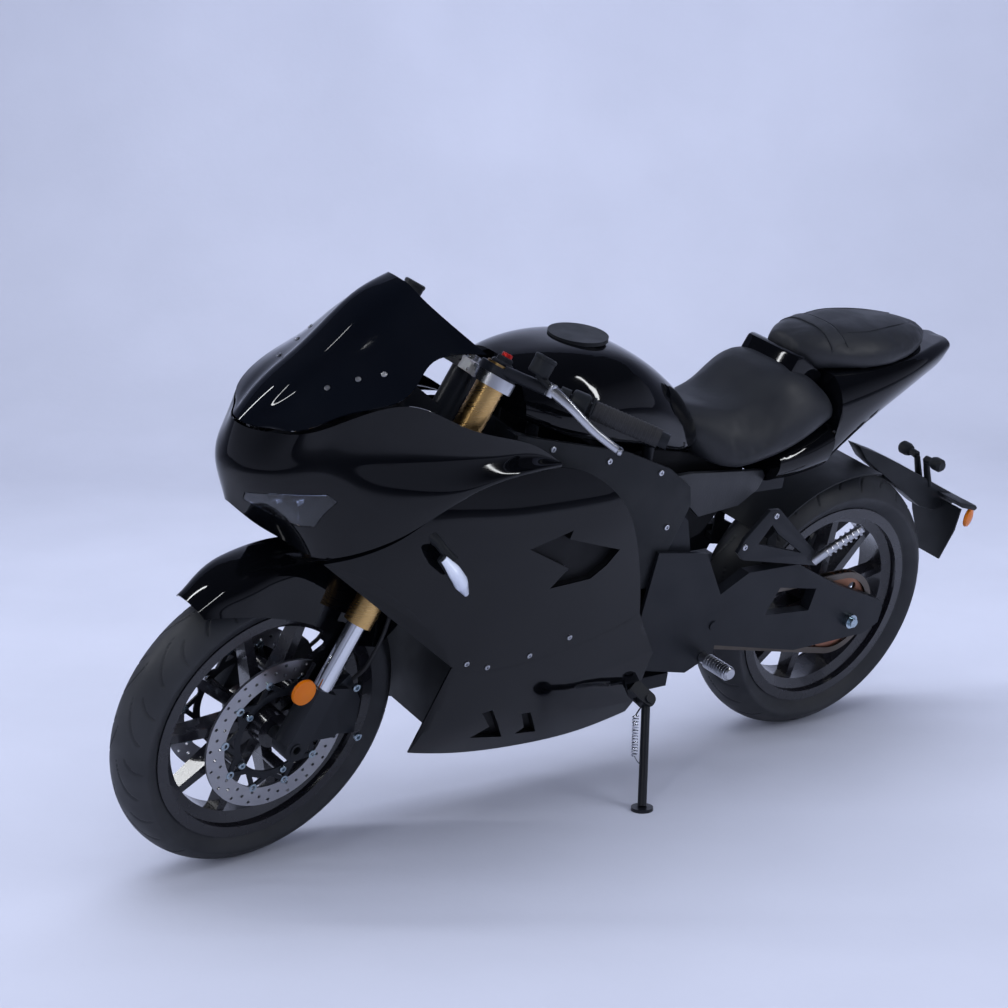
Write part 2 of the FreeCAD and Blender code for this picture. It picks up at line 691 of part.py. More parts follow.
def front_sprocket_centre():
    """Where the drive's output shaft sits, so that a whole number of links fits the loop."""
    big = pitch_radius(REAR_TEETH)
    small = pitch_radius(FRONT_TEETH)
    reach = PIVOT_X + OUTPUT_AHEAD_OF_PIVOT

    def loop(distance):
        slope = math.asin((big - small) / distance)
        return 2 * distance * math.cos(slope) + math.pi * (big + small) + 2 * slope * (big - small)

    links = 2 * round(loop(reach) / (2 * CHAIN_PITCH))
    low = reach * 0.9
    high = reach * 1.1
    for _ in range(40):
        middle = (low + high) / 2
        if loop(middle) < links * CHAIN_PITCH:
            low = middle
        else:
            high = middle
    rise = PIVOT_Z + OUTPUT_ABOVE_PIVOT - REAR_TYRE_R
    return V(math.sqrt(middle ** 2 - rise ** 2), 0, REAR_TYRE_R + rise), links


def belt_face(centre, growth):
    """The side view of a loop round both sprockets, this far outside the pitch line."""
    big = pitch_radius(REAR_TEETH) + growth
    small = pitch_radius(FRONT_TEETH) + growth
    axis = centre - REAR_AXLE
    distance = axis.Length
    tilt = math.atan2(axis.z, axis.x)
    spread = math.acos((big - small) / distance)

    def rim_point(middle, radius, angle):
        return middle + V(radius * math.cos(angle), 0, radius * math.sin(angle))

    upper = tilt + spread
    lower = tilt - spread
    edges = [
        Part.makeLine(rim_point(REAR_AXLE, big, upper), rim_point(centre, small, upper)),
        Part.Arc(rim_point(centre, small, upper), rim_point(centre, small, tilt),
                 rim_point(centre, small, lower)).toShape(),
        Part.makeLine(rim_point(centre, small, lower), rim_point(REAR_AXLE, big, lower)),
        Part.Arc(rim_point(REAR_AXLE, big, lower), rim_point(REAR_AXLE, big, tilt + math.pi),
                 rim_point(REAR_AXLE, big, upper)).toShape(),
    ]
    return Part.Face(Part.Wire(edges))


def chain():
    centre, links = front_sprocket_centre()
    band = belt_face(centre, CHAIN_PLATE_H / 2).cut(belt_face(centre, -CHAIN_PLATE_H / 2))
    loop = band.extrude(V(0, CHAIN_W, 0))
    slot = band.extrude(V(0, CHAIN_GAP, 0))
    slot.translate(V(0, (CHAIN_W - CHAIN_GAP) / 2, 0))
    return placed(loop.cut(slot), V(0, CHAIN_Y - CHAIN_W / 2, 0))


def front_axle():
    half = FRONT_AXLE_L / 2
    return placed(pipe(V(0, -half, 0), V(0, half, 0), FRONT_AXLE_R, FRONT_AXLE_BORE), FRONT_AXLE)


def rear_axle():
    half = REAR_AXLE_L / 2
    shaft = rod(V(0, -half, 0), V(0, half, 0), REAR_AXLE_R)
    seat = ARM_INNER_Y + ARM_T
    nut = ring(AXLE_NUT_R, REAR_AXLE_R - FIT, (seat, seat + AXLE_NUT_H))
    return placed(fused([shaft, nut, mirrored(nut)]), REAR_AXLE)


def fork_outer_tubes():
    tube = pipe(V(AXLE_OFFSET, LEG_Y, OUTER_TUBE_BOTTOM), V(AXLE_OFFSET, LEG_Y, OUTER_TUBE_TOP),
                OUTER_TUBE_R, INNER_TUBE_R + FIT)
    cap = rod(V(AXLE_OFFSET, LEG_Y, OUTER_TUBE_TOP - CAP_H), V(AXLE_OFFSET, LEG_Y, OUTER_TUBE_TOP), OUTER_TUBE_R)
    return in_fork(pair(fused([tube, cap])))


def fork_inner_tubes():
    tube = rod(V(AXLE_OFFSET, LEG_Y, FOOT_TOP - FOOT_SOCKET), V(AXLE_OFFSET, LEG_Y, INNER_TUBE_TOP), INNER_TUBE_R)
    return in_fork(pair(tube))


def fork_feet():
    low_y = LEG_Y - FOOT_W / 2
    high_y = LEG_Y + FOOT_W / 2
    barrel = rod(V(AXLE_OFFSET, LEG_Y, 0), V(AXLE_OFFSET, LEG_Y, FOOT_TOP), FOOT_R)
    barrel = barrel.common(box((0, 2 * AXLE_OFFSET), (low_y, high_y), (0, FOOT_TOP)))
    eye = cross_bar(AXLE_OFFSET, 0, (low_y, high_y), FOOT_EYE_R)
    wing = side_plate([(AXLE_OFFSET, FOOT_TOP - 8), (-30, 128), (-42, 118), (-30, 78), (-62, 48), (-58, 32),
                       (AXLE_OFFSET, -10)], (low_y, low_y + FOOT_WING_T))
    foot = fused([barrel, eye, wing])
    foot = foot.cut(cross_bar(AXLE_OFFSET, 0, (0, 2 * LEG_Y), FRONT_AXLE_R + FIT))
    socket = rod(V(AXLE_OFFSET, LEG_Y, FOOT_TOP - FOOT_SOCKET), V(AXLE_OFFSET, LEG_Y, FOOT_TOP), INNER_TUBE_R + FIT)
    return in_fork(pair(foot.cut(socket)))


def clamp_plate(up, height):
    tube = V(AXLE_OFFSET, LEG_Y, up)
    boss = rod(tube, tube + UP * height, OUTER_TUBE_R + CLAMP_WALL)
    middle = rod(V(0, 0, up), V(0, 0, up + height), HEAD_TUBE_R)
    inner = AXLE_OFFSET - OUTER_TUBE_R - CLAMP_WALL / 2
    outline = [V(-HEAD_TUBE_R, -10, up), V(inner, -LEG_Y, up), V(2 * AXLE_OFFSET - inner, -LEG_Y, up),
               V(HEAD_TUBE_R, 0, up), V(2 * AXLE_OFFSET - inner, LEG_Y, up), V(inner, LEG_Y, up),
               V(-HEAD_TUBE_R, 10, up)]
    web = polygon(outline).extrude(UP * height)
    plate = fused([boss, mirrored(boss), middle, web])
    bore = rod(tube - UP, tube + UP * (height + 1), OUTER_TUBE_R + FIT)
    return plate.cut(bore).cut(mirrored(bore))


def fork_clamps():
    lower = clamp_plate(LOWER_CLAMP_UP, LOWER_CLAMP_H)
    upper = clamp_plate(TOP_CLAMP_UP, TOP_CLAMP_H)
    top = TOP_CLAMP_UP + TOP_CLAMP_H
    stem = rod(V(0, 0, LOWER_CLAMP_UP), V(0, 0, top + STEM_NUT_H), STEM_R)
    whole = fused([lower, upper, stem])
    bore = rod(V(0, 0, LOWER_CLAMP_UP), V(0, 0, top + STEM_NUT_H), STEM_BORE_R)
    return in_fork(whole.cut(bore))


def bar_line():
    return (BAR_OUTER - BAR_INNER).normalize()


def handlebars():
    along = bar_line()
    seat = TOP_CLAMP_UP + TOP_CLAMP_H + FIT
    collar = rod(V(AXLE_OFFSET, LEG_Y, seat), V(AXLE_OFFSET, LEG_Y, seat + BAR_RING_H), OUTER_TUBE_R + BAR_RING_WALL)
    bar = rod(BAR_INNER - along * BAR_SINK, BAR_OUTER, BAR_R)
    weight = rod(BAR_OUTER, BAR_OUTER + along * BAR_END_L, BAR_END_R)
    left = fused([collar, bar, weight])
    left = left.cut(rod(V(AXLE_OFFSET, LEG_Y, 0), V(AXLE_OFFSET, LEG_Y, 2 * TOP_CLAMP_UP), OUTER_TUBE_R + FIT))
    return in_fork(pair(left))


def grips():
    along = bar_line()
    end = BAR_OUTER - along * FIT
    return in_fork(pair(pipe(end - along * GRIP_L, end, GRIP_R, BAR_R + FIT)))


def hand_controls():
    along = bar_line()
    grip_start = BAR_OUTER - along * (GRIP_L + SWITCH_GAP)
    switch = pipe(grip_start - along * SWITCH_L, grip_start, SWITCH_R, BAR_R + FIT)
    perch = pipe(grip_start - along * (SWITCH_L + PERCH_L), grip_start - along * SWITCH_L, PERCH_R, BAR_R + FIT)
    root = grip_start - along * (SWITCH_L + PERCH_L / 2)
    body = rod(root + FORWARD * (BAR_R + 4), root + FORWARD * MASTER_FORE, MASTER_R)
    pivot = root + FORWARD * MASTER_FORE
    lever = rod(pivot - UP * 8, LEVER_TIP, LEVER_R)
    knob = Part.makeSphere(LEVER_BALL_R, LEVER_TIP)
    pot = rod(RESERVOIR - UP * RESERVOIR_H / 2, RESERVOIR + UP * RESERVOIR_H / 2, RESERVOIR_R)
    neck = rod(root + FORWARD * 34, V(RESERVOIR.x, RESERVOIR.y, RESERVOIR.z - 16), 7)
    left = fused([switch, perch, body, lever, knob, pot, neck])
    bar = rod(BAR_INNER, BAR_OUTER, BAR_R + FIT)
    return in_fork(pair(left.cut(bar)))


def front_calipers():
    """A block behind each leg that straddles the disc."""
    high = LEG_Y - FOOT_W / 2 - FIT
    low = 2 * DISC_Y - high
    outline = []
    for r, a in ((CALIPER_INNER_R, -CALIPER_SWEEP), (CALIPER_INNER_R, 0), (CALIPER_INNER_R, CALIPER_SWEEP),
                 (CALIPER_OUTER_R, CALIPER_SWEEP), (CALIPER_OUTER_R + 4, 0), (CALIPER_OUTER_R, -CALIPER_SWEEP)):
        angle = radians(CALIPER_ANGLE + a)
        outline.append((AXLE_OFFSET + r * math.cos(angle), r * math.sin(angle)))
    block = side_plate(outline, (low, high))
    slot = CARRIER_T / 2 + BUTTON_PROUD + DISC_GAP
    cut = cross_bar(AXLE_OFFSET, 0, (DISC_Y - slot, DISC_Y + slot), DISC_R + DISC_GAP)
    return in_fork(pair(block.cut(cut)))


def fender_row(angle, half):
    points = []
    for r, y in half:
        turn = radians(angle - RAKE)
        points.append(V(AXLE_OFFSET + r * math.cos(turn), y, r * math.sin(turn)))
    return full_row(points)


def front_fender():
    rows = [fender_row(angle, half) for angle, half in FENDER_ROWS]
    shell = skin(rows, FENDER_WALL)
    outer = LEG_Y - FOOT_W / 2 - FIT
    stay = side_plate(FENDER_STAY, (outer - FENDER_STAY_T, outer))
    pad = box((FENDER_STAY[3][0], FENDER_STAY[2][0]), (outer - FENDER_PAD_T, outer), FENDER_PAD_UP)
    return in_fork(fused([shell, stay, pad, mirrored(stay), mirrored(pad)]))


def fork_reflectors():
    face = LEG_Y + FOOT_W / 2 + RUNNING_GAP
    disc = cross_bar(REFLECTOR_AT[0], REFLECTOR_AT[1], (face, face + REFLECTOR_T), REFLECTOR_R)
    return in_fork(pair(disc))


def hose(points, radius):
    """A hose along straight runs joined by tangent arcs, as large as the runs allow."""
    edges = []
    start = points[0]
    for before, corner, after in zip(points, points[1:], points[2:]):
        arrive = (corner - before).normalize()
        leave = (after - corner).normalize()
        turn = arrive.getAngle(leave)
        reach = 0.45 * min((corner - before).Length, (after - corner).Length)
        bend = reach / math.tan(turn / 2)
        entry = corner - arrive * reach
        depart = corner + leave * reach
        inward = (leave - arrive).normalize()
        crown = corner + inward * (bend / math.cos(turn / 2) - bend)
        edges.append(Part.makeLine(start, entry))
        edges.append(Part.Arc(entry, crown, depart).toShape())
        start = depart
    edges.append(Part.makeLine(start, points[-1]))
    path = Part.Wire(edges)
    section = Part.Wire(Part.makeCircle(radius, points[0], points[1] - points[0]))
    return path.makePipeShell([section], True, False)


def brake_hoses():
    return in_fork(pair(hose([V(*p) for p in HOSE_ROUTE], HOSE_R)))


def front_tyre():
    return placed(tyre(FRONT_TYRE_R, FRONT_TYRE_W, FRONT_CROWN_R, FRONT_RIM_W), FRONT_AXLE)


def rear_tyre():
    return placed(tyre(REAR_TYRE_R, REAR_TYRE_W, REAR_CROWN_R, REAR_RIM_W), REAR_AXLE)


def main_frame():
    head_low = LOWER_CLAMP_UP + LOWER_CLAMP_H + RUNNING_GAP
    head_high = TOP_CLAMP_UP - RUNNING_GAP
    head = in_fork(rod(V(0, 0, head_low), V(0, 0, head_high), HEAD_TUBE_R))
    bore = in_fork(rod(V(0, 0, head_low), V(0, 0, head_high), STEM_R + FIT))
    neck = on_body(side_plate(NECK_OUTLINE, (-NECK_HALF_W, NECK_HALF_W)))
    yoke = on_body(side_plate(YOKE_OUTLINE, (-SPAR_Y, SPAR_Y)))
    spar = on_body(side_plate(SPAR_OUTLINE, (SPAR_Y, SPAR_Y + SPAR_T)))
    plate = on_body(side_plate(PIVOT_PLATE_OUTLINE, (PIVOT_PLATE_Y, PIVOT_PLATE_Y + PIVOT_PLATE_T)))
    foot_low = ARM_INNER_Y + ARM_T + ARM_SIDE_GAP
    foot_plate = on_body(side_plate(FOOT_PLATE_OUTLINE, (foot_low, foot_low + FOOT_PLATE_T)))
    rail = on_body(side_plate(SEAT_RAIL_OUTLINE, (SEAT_RAIL_Y, SEAT_RAIL_Y + SEAT_RAIL_W)))
    ties = [on_body(cross_bar(x, z, (-foot_low, foot_low), TIE_R)) for x, z in FRAME_TIES]
    stay = on_body(side_plate(NOSE_STAY, (-NOSE_STAY_HALF_W, NOSE_STAY_HALF_W)))
    sides = [spar, plate, rail, foot_plate] + tank_pads()
    whole = fused([head, neck, yoke, stay] + sides + [mirrored(side) for side in sides] + ties)
    shaft_end = foot_low + FOOT_PLATE_T + PIVOT_CAP_H
    shaft = cross_bar(PIVOT_X, PIVOT_Z, (-shaft_end, shaft_end), PIVOT_R)
    return fused([whole.cut(bore), shaft] + stand_clevis())


def tank_pads():
    """Posts whose tops follow the underside of the tank."""
    tank = placed(fuel_tank(), V(0, 0, -RUNNING_GAP))
    pads = []
    for x, y, low, high in TANK_PADS:
        post = on_body(rod(V(x, y, low), V(x, y, high), PAD_R)).cut(tank)
        pads.append(min(post.Solids, key=lambda solid: solid.CenterOfMass.z))
    return pads


def stand_frame():
    """Axes at the side stand's pivot: X away from the leg's sweep, Z along the pivot."""
    away = (STAND_DOWN + STAND_FOLDED).normalize() * -1
    turn = FreeCAD.Rotation(away, STAND_AXIS.cross(away), STAND_AXIS, "ZXY")
    return FreeCAD.Placement(STAND_PIVOT_POINT, turn)


def stand_clevis():
    """Two ears on an arm of the left pivot plate, with the side stand's pivot bolt."""
    low = STAND_EYE_T + EAR_GAP
    high = low + EAR_T
    pieces = []
    for near, far in ((low, high), (-high, -low)):
        pieces.append(rod(V(0, 0, near), V(0, 0, far), EAR_R))
        pieces.append(box((0, EAR_BACK[1]), (-EAR_R, EAR_R), (near, far)))
    pieces.append(box(EAR_BACK, (-EAR_R, EAR_R), (-high, high)))
    pieces.append(rod(V(0, 0, -high), V(0, 0, high), STAND_BOLT_R))
    pieces.append(rod(V(0, 0, high), V(0, 0, high + STAND_HEAD_H), STAND_HEAD_R))
    place = stand_frame()
    arm = on_body(side_plate(STAND_ARM, STAND_ARM_Y))
    return [moved(piece, place) for piece in pieces] + [arm]


def motor_block():
    return on_body(side_plate(MOTOR_OUTLINE, (-MOTOR_HALF_W, MOTOR_HALF_W)))


def swingarm():
    arm = side_plate(ARM_OUTLINE, (ARM_INNER_Y, ARM_INNER_Y + ARM_T))
    window = side_plate(ARM_WINDOW, (ARM_INNER_Y, ARM_INNER_Y + ARM_T))
    arm = arm.cut(window)
    brace = box((PIVOT_X - 60, PIVOT_X - 30), (-ARM_INNER_Y, ARM_INNER_Y), (PIVOT_Z - 16, PIVOT_Z + 14))
    boss_inner = PIVOT_PLATE_Y + PIVOT_PLATE_T + FIT
    boss = cross_bar(PIVOT_X, PIVOT_Z, (boss_inner, ARM_INNER_Y), PIVOT_BOSS_R)
    whole = fused([arm, mirrored(arm), brace, boss, mirrored(boss)])
    whole = whole.cut(cross_bar(PIVOT_X, PIVOT_Z, (-2 * ARM_INNER_Y, 2 * ARM_INNER_Y), PIVOT_R + FIT))
    width = (-2 * ARM_INNER_Y, 2 * ARM_INNER_Y)
    axle = cross_bar(0, REAR_TYRE_R, width, REAR_AXLE_R + FIT)
    return whole.cut(axle)


def rear_caliper():
    low = FIT - ARM_INNER_Y
    high = 2 * -REAR_DISC_Y - low
    outline = []
    for r, a in ((84, -22), (84, 22), (126, 22), (130, 0), (126, -22)):
        angle = radians(REAR_CALIPER_ANGLE + a)
        outline.append((r * math.cos(angle), REAR_TYRE_R + r * math.sin(angle)))
    block = side_plate(outline, (low, high))
    slot = DISC_T / 2 + DISC_GAP
    cut = cross_bar(0, REAR_TYRE_R, (-REAR_DISC_Y - slot, -REAR_DISC_Y + slot), REAR_DISC_R + DISC_GAP)
    return block.cut(cut)


def rows_of(table):
    return [full_row([V(*p) for p in half]) for half in table]


def lens_prism(grow):
    outline = [V(LENS_FROM_X, y, z) for y, z in LENS_OUTLINE]
    face = polygon(outline)
    if grow:
        face = face.makeOffset2D(grow)
    prism = face.extrude(FORWARD * LENS_DEPTH)
    return prism


def nose_skin():
    return skin(rows_of(NOSE_ROWS), PANEL_WALL)


def nose_cowl():
    cut = lens_prism(SEAM / 2)
    shell = nose_skin().cut(cut).cut(mirrored(cut))
    return on_body(shell)


def headlamps():
    lens = lens_prism(-SEAM / 2)
    return on_body(pair(nose_skin().common(lens)))


def windscreen():
    return on_body(skin(rows_of(SCREEN_ROWS), SCREEN_WALL))


def side_skin():
    return skin([[V(x, y, z) for z, y in zip(SIDE_LEVELS, row)] for x, row in SIDE_ROWS], PANEL_WALL)


def side_fairing_left():
    panel = side_skin().common(side_plate(SIDE_OUTLINE, (0, SIDE_REACH_Y)))
    return on_body(panel.cut(rod(FRONT_INDICATOR_ROOT, FRONT_INDICATOR_TIP, INDICATOR_R + FIT)))


def side_fairing_right():
    return mirrored(side_fairing_left())


def belly_fairing():
    return pair(on_body(side_skin().common(side_plate(BELLY_OUTLINE, (0, SIDE_REACH_Y)))))


def inner_fairing():
    face = MOTOR_FRONT_X + RUNNING_GAP
    return on_body(box((face, face + INNER_T), (-INNER_HALF_W, INNER_HALF_W), INNER_Z))


def fuel_tank():
    recess = rod(TANK_CAP, TANK_CAP + UP * CAP_R, CAP_R + FIT)
    return on_body(body_loft(TANK_SECTIONS).cut(recess))


def filler_cap():
    return on_body(rod(TANK_CAP, TANK_CAP + UP * CAP_PROUD, CAP_R))


def side_covers():
    face = SPAR_Y + SPAR_T + RUNNING_GAP
    return pair(on_body(side_plate(COVER_OUTLINE, (face, face + COVER_T))))


def above_deck(gap):
    """The room over the line that the seats sit on."""
    outline = DECK_LINE + [(DECK_LINE[-1][0], DECK_ROOM_Z), (DECK_LINE[0][0], DECK_ROOM_Z)]
    return placed(side_plate(outline, (-SIDE_REACH_Y, SIDE_REACH_Y)), V(gap, 0, gap))


def rider_seat():
    return on_body(body_loft(RIDER_SECTIONS).common(above_deck(SEAT_GAP)))


def pillion_seat():
    return on_body(body_loft(PILLION_SECTIONS).common(above_deck(SEAT_GAP)))


def tail_cowl():
    return on_body(fused([body_loft(TAIL_FRONT_SECTIONS), body_loft(TAIL_SECTIONS)]).cut(above_deck(0)))


def tail_lamp():
    x, z = TAIL_LAMP_AT
    return on_body(box((x - 12, x), (-TAIL_LAMP_HALF_W, TAIL_LAMP_HALF_W), (z - 9, z + 9)))


def rear_hugger():
    """A mudguard over the front of the rear tyre."""
    outer = cross_bar(0, REAR_TYRE_R, (-HUGGER_HALF_W, HUGGER_HALF_W), REAR_TYRE_R + HUGGER_GAP + HUGGER_WALL)
    inner = cross_bar(0, REAR_TYRE_R, (-HUGGER_HALF_W, HUGGER_HALF_W), REAR_TYRE_R + HUGGER_GAP)
    reach = 2 * REAR_TYRE_R
    wedge = [(0, REAR_TYRE_R)]
    for angle in HUGGER_ANGLES:
        wedge.append((reach * math.cos(radians(angle)), REAR_TYRE_R + reach * math.sin(radians(angle))))
    shell = outer.cut(inner).common(side_plate(wedge, (-HUGGER_HALF_W, HUGGER_HALF_W)))
    flange = side_plate(HUGGER_FLANGE, (HUGGER_HALF_W - HUGGER_FLANGE_T, HUGGER_HALF_W))
    tab = side_plate(HUGGER_TAB, (HUGGER_HALF_W - HUGGER_FLANGE_T, ARM_INNER_Y - RUNNING_GAP))
    return fused([shell, flange, tab, mirrored(flange), mirrored(tab)])


def plate_holder():
    arm = side_plate(PLATE_ARM, (-ARM_INNER_Y - ARM_T - 8, -ARM_INNER_Y - ARM_T))
    bridge = side_plate(PLATE_BRIDGE, (-ARM_INNER_Y - ARM_T - 8, PLATE_HALF_W))
    return fused([arm, bridge])


def indicators():
    front = on_body(rod(FRONT_INDICATOR_ROOT, FRONT_INDICATOR_TIP, INDICATOR_R))
    rear = rod(REAR_INDICATOR_ROOT, REAR_INDICATOR_TIP, INDICATOR_R)
    return Part.makeCompound([front, mirrored(front), rear, mirrored(rear)])


def instrument_panel():
    return on_body(side_plate(PANEL_OUTLINE, (-PANEL_HALF_W, PANEL_HALF_W)))


def foot_pegs():
    face = ARM_INNER_Y + ARM_T + ARM_SIDE_GAP + FOOT_PLATE_T + FIT
    rider = on_body(cross_bar(RIDER_PEG_AT[0], RIDER_PEG_AT[1], (face, face + PEG_L), PEG_R))
    hanger_y = SEAT_RAIL_Y + SEAT_RAIL_W + FIT
    rear = on_body(side_plate(HANGER_OUTLINE, (hanger_y, hanger_y + HANGER_T)))
    return Part.makeCompound([rider, mirrored(rider), rear, mirrored(rear)])


# The way it is parked

def lowest(centre, axis, radius, crown):
    """Height of a leaning tyre's lowest point, from its round crown."""
    return centre.z - (radius - crown) * math.sqrt(1 - axis.z ** 2) - crown


def lean_placement():
    """Steers, pitches and leans the machine until both tyres touch the floor."""
    steer = FreeCAD.Rotation(STEER_DIR, STEER_REST)
    front_centre = STEER_FOOT + steer.multVec(FRONT_AXLE - STEER_FOOT)
    front_axis = steer.multVec(LEFT)
    pitch = 0.0
    for _ in range(PITCH_STEPS):
        tip = FreeCAD.Rotation(FORWARD, -LEAN).multiply(FreeCAD.Rotation(LEFT, pitch))
        rear_low = lowest(tip.multVec(REAR_AXLE), tip.multVec(LEFT), REAR_TYRE_R, REAR_CROWN_R)
        front_low = lowest(tip.multVec(front_centre), tip.multVec(front_axis), FRONT_TYRE_R, FRONT_CROWN_R)
        pitch += math.degrees(math.atan2(front_low - rear_low, WHEELBASE))
    return FreeCAD.Placement(V(0, 0, -rear_low), tip)


LEAN_PLACE = lean_placement()
STEER_PLACE = FreeCAD.Placement(V(0, 0, 0), FreeCAD.Rotation(STEER_DIR, STEER_REST), STEER_FOOT)
FLOOR_NORMAL = LEAN_PLACE.Rotation.inverted().multVec(UP)
STAND_PIVOT_POINT = STAND_PIVOT + BODY_SHIFT
STAND_DOWN = V(*STAND_DOWN_DIR).normalize()
STAND_FOLDED = V(*STAND_FOLDED_DIR).normalize()
STAND_AXIS = STAND_DOWN.cross(STAND_FOLDED).normalize()


def stand_foot():
    """Where the stand's line meets the floor."""
    height = LEAN_PLACE.multVec(STAND_PIVOT_POINT).z
    return STAND_PIVOT_POINT + STAND_DOWN * (height / -STAND_DOWN.dot(FLOOR_NORMAL))


def side_stand():
    foot = stand_foot()
    leg = rod(STAND_PIVOT_POINT + STAND_DOWN * STAND_EYE_R * 0.6, foot + FLOOR_NORMAL * STAND_PAD_T, STAND_LEG_R)
    eye = rod(STAND_PIVOT_POINT - STAND_AXIS * STAND_EYE_T, STAND_PIVOT_POINT + STAND_AXIS * STAND_EYE_T,
              STAND_EYE_R)
    pad = rod(foot, foot + FLOOR_NORMAL * STAND_PAD_T, STAND_PAD_R)
    hole = rod(STAND_PIVOT_POINT - STAND_AXIS * STAND_EYE_R, STAND_PIVOT_POINT + STAND_AXIS * STAND_EYE_R,
               STAND_BOLT_R + FIT)
    return fused([leg, eye, pad]).cut(hole)


# Every piece, by the body that it moves with

CHASSIS = [main_frame, motor_block, swingarm, chain, rear_axle, rear_caliper, nose_cowl, windscreen,
           headlamps, instrument_panel, side_fairing_left, side_fairing_right, belly_fairing,
           inner_fairing, fuel_tank, filler_cap, side_covers, rider_seat, pillion_seat, tail_cowl,
           tail_lamp, rear_hugger, plate_holder, indicators, foot_pegs]
STEERING = [fork_clamps, fork_outer_tubes, fork_inner_tubes, fork_feet, front_axle, front_fender,
            handlebars, grips, hand_controls, front_calipers, fork_reflectors, brake_hoses]
FRONT_WHEEL = [front_rim, front_tyre, front_discs]
REAR_WHEEL = [rear_rim, rear_tyre, rear_sprocket, rear_disc]
STAND = [side_stand]
BODIES = {"chassis": CHASSIS, "steering": STEERING, "front_wheel": FRONT_WHEEL,
          "rear_wheel": REAR_WHEEL, "side_stand": STAND}
STEERED = ("steering", "front_wheel")


def parked_pieces():
    """Every node's shape as parked, with the origin under the middle of the machine."""
    pieces = {}
    for body, makers in BODIES.items():
        for maker in makers:
            shape = maker()
            if body in STEERED:
                shape = moved(shape, STEER_PLACE)
            pieces[maker.__name__] = moved(shape, LEAN_PLACE)
    bounds = Part.makeCompound(list(pieces.values())).optimalBoundingBox(False)
    shift = V(-bounds.Center.x, -bounds.Center.y, 0)
    return {name: placed(shape, shift) for name, shape in pieces.items()}, shift


def main():
    os.makedirs("parts", exist_ok=True)
    pieces, _ = parked_pieces()
    for name, shape in pieces.items():
        shape.exportStep(os.path.join("parts", name + ".step"))


if __name__ == "__main__":
    main()
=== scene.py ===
import json
from math import asin, cos, pi, radians, sin, tau

import bmesh
import bpy
import numpy as np
from mathutils import Matrix, Vector
from mathutils.bvhtree import BVHTree
from mathutils.geometry import delaunay_2d_cdt


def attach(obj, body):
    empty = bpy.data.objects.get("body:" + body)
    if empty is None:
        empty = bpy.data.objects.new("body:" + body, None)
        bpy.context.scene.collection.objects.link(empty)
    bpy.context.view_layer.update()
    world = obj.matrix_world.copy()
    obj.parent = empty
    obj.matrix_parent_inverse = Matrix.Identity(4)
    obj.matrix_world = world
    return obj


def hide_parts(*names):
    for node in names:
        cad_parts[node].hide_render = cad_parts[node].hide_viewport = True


# Sizes are millimetres on the upright machine, as in the CAD: X forward, Y left, Z up, with X
# zero above the rear axle. MM turns them into Blender's metres.
MM = 0.001
WHEELBASE = 1395.0
RAKE = 27.0
AXLE_OFFSET = 48.0
STEER_REST = 6.2
LEAN = 13.6
PITCH = 0.092
FRONT_R = 293.0
REAR_R = 306.0

LEFT = (0, 1, 0)
UP = (0, 0, 1)

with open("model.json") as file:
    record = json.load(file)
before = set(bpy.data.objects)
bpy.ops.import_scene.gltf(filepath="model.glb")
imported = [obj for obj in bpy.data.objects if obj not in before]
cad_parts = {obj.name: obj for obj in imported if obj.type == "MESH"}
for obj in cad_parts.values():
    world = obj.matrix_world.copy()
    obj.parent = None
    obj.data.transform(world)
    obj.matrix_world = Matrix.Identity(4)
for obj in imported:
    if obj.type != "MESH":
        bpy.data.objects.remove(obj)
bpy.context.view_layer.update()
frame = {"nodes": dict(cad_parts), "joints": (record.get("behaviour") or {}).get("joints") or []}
NODES = frame["nodes"]
JOINTS = {joint["name"]: joint for joint in frame["joints"]}


def turn(degrees, axis):
    return Matrix.Rotation(radians(degrees), 4, axis)


def shift(x, y, z):
    return Matrix.Translation((x, y, z))


def parked_matrix():
    """From the upright machine in millimetres to the parked one in metres."""
    lean = turn(-LEAN, "X") @ turn(PITCH, "Y")
    axle = Vector(JOINTS["rear_wheel_spin"]["pos_m"])
    offset = axle - (lean @ Vector((0, 0, REAR_R))) * MM
    return Matrix.Translation(offset) @ lean @ Matrix.Scale(MM, 4)


PARKED = parked_matrix()
STEER_DIR = Vector((-sin(radians(RAKE)), 0, cos(radians(RAKE))))
STEER_FORE = Vector((cos(radians(RAKE)), 0, sin(radians(RAKE))))
STEER_FOOT = Vector((WHEELBASE, 0, FRONT_R)) - STEER_FORE * AXLE_OFFSET
STEERED = PARKED @ shift(*STEER_FOOT) @ turn(STEER_REST, STEER_DIR) @ shift(*-STEER_FOOT)
FORK = STEERED @ shift(*STEER_FOOT) @ turn(-RAKE, "Y")
FRONT_WHEEL = STEERED @ shift(WHEELBASE, 0, FRONT_R)
REAR_WHEEL = PARKED @ shift(0, 0, REAR_R)
AXLE_BODY = {"front_wheel": FRONT_WHEEL, "rear_wheel": REAR_WHEEL}


# Camera, as the photograph was taken: place and turn come from the tyres and the fork line
CAMERA_FROM_AXLE = Vector((3.0795, 3.0900, 1.1022))
CAMERA_YAW = 234.0
CAMERA_PITCH = -11.75
FOCAL_PX = 1999.6
PHOTO_PX = 1008
SENSOR_MM = 36.0


def linked(name, data):
    """A new object in the scene."""
    thing = bpy.data.objects.new(name, data)
    bpy.context.scene.collection.objects.link(thing)
    return thing


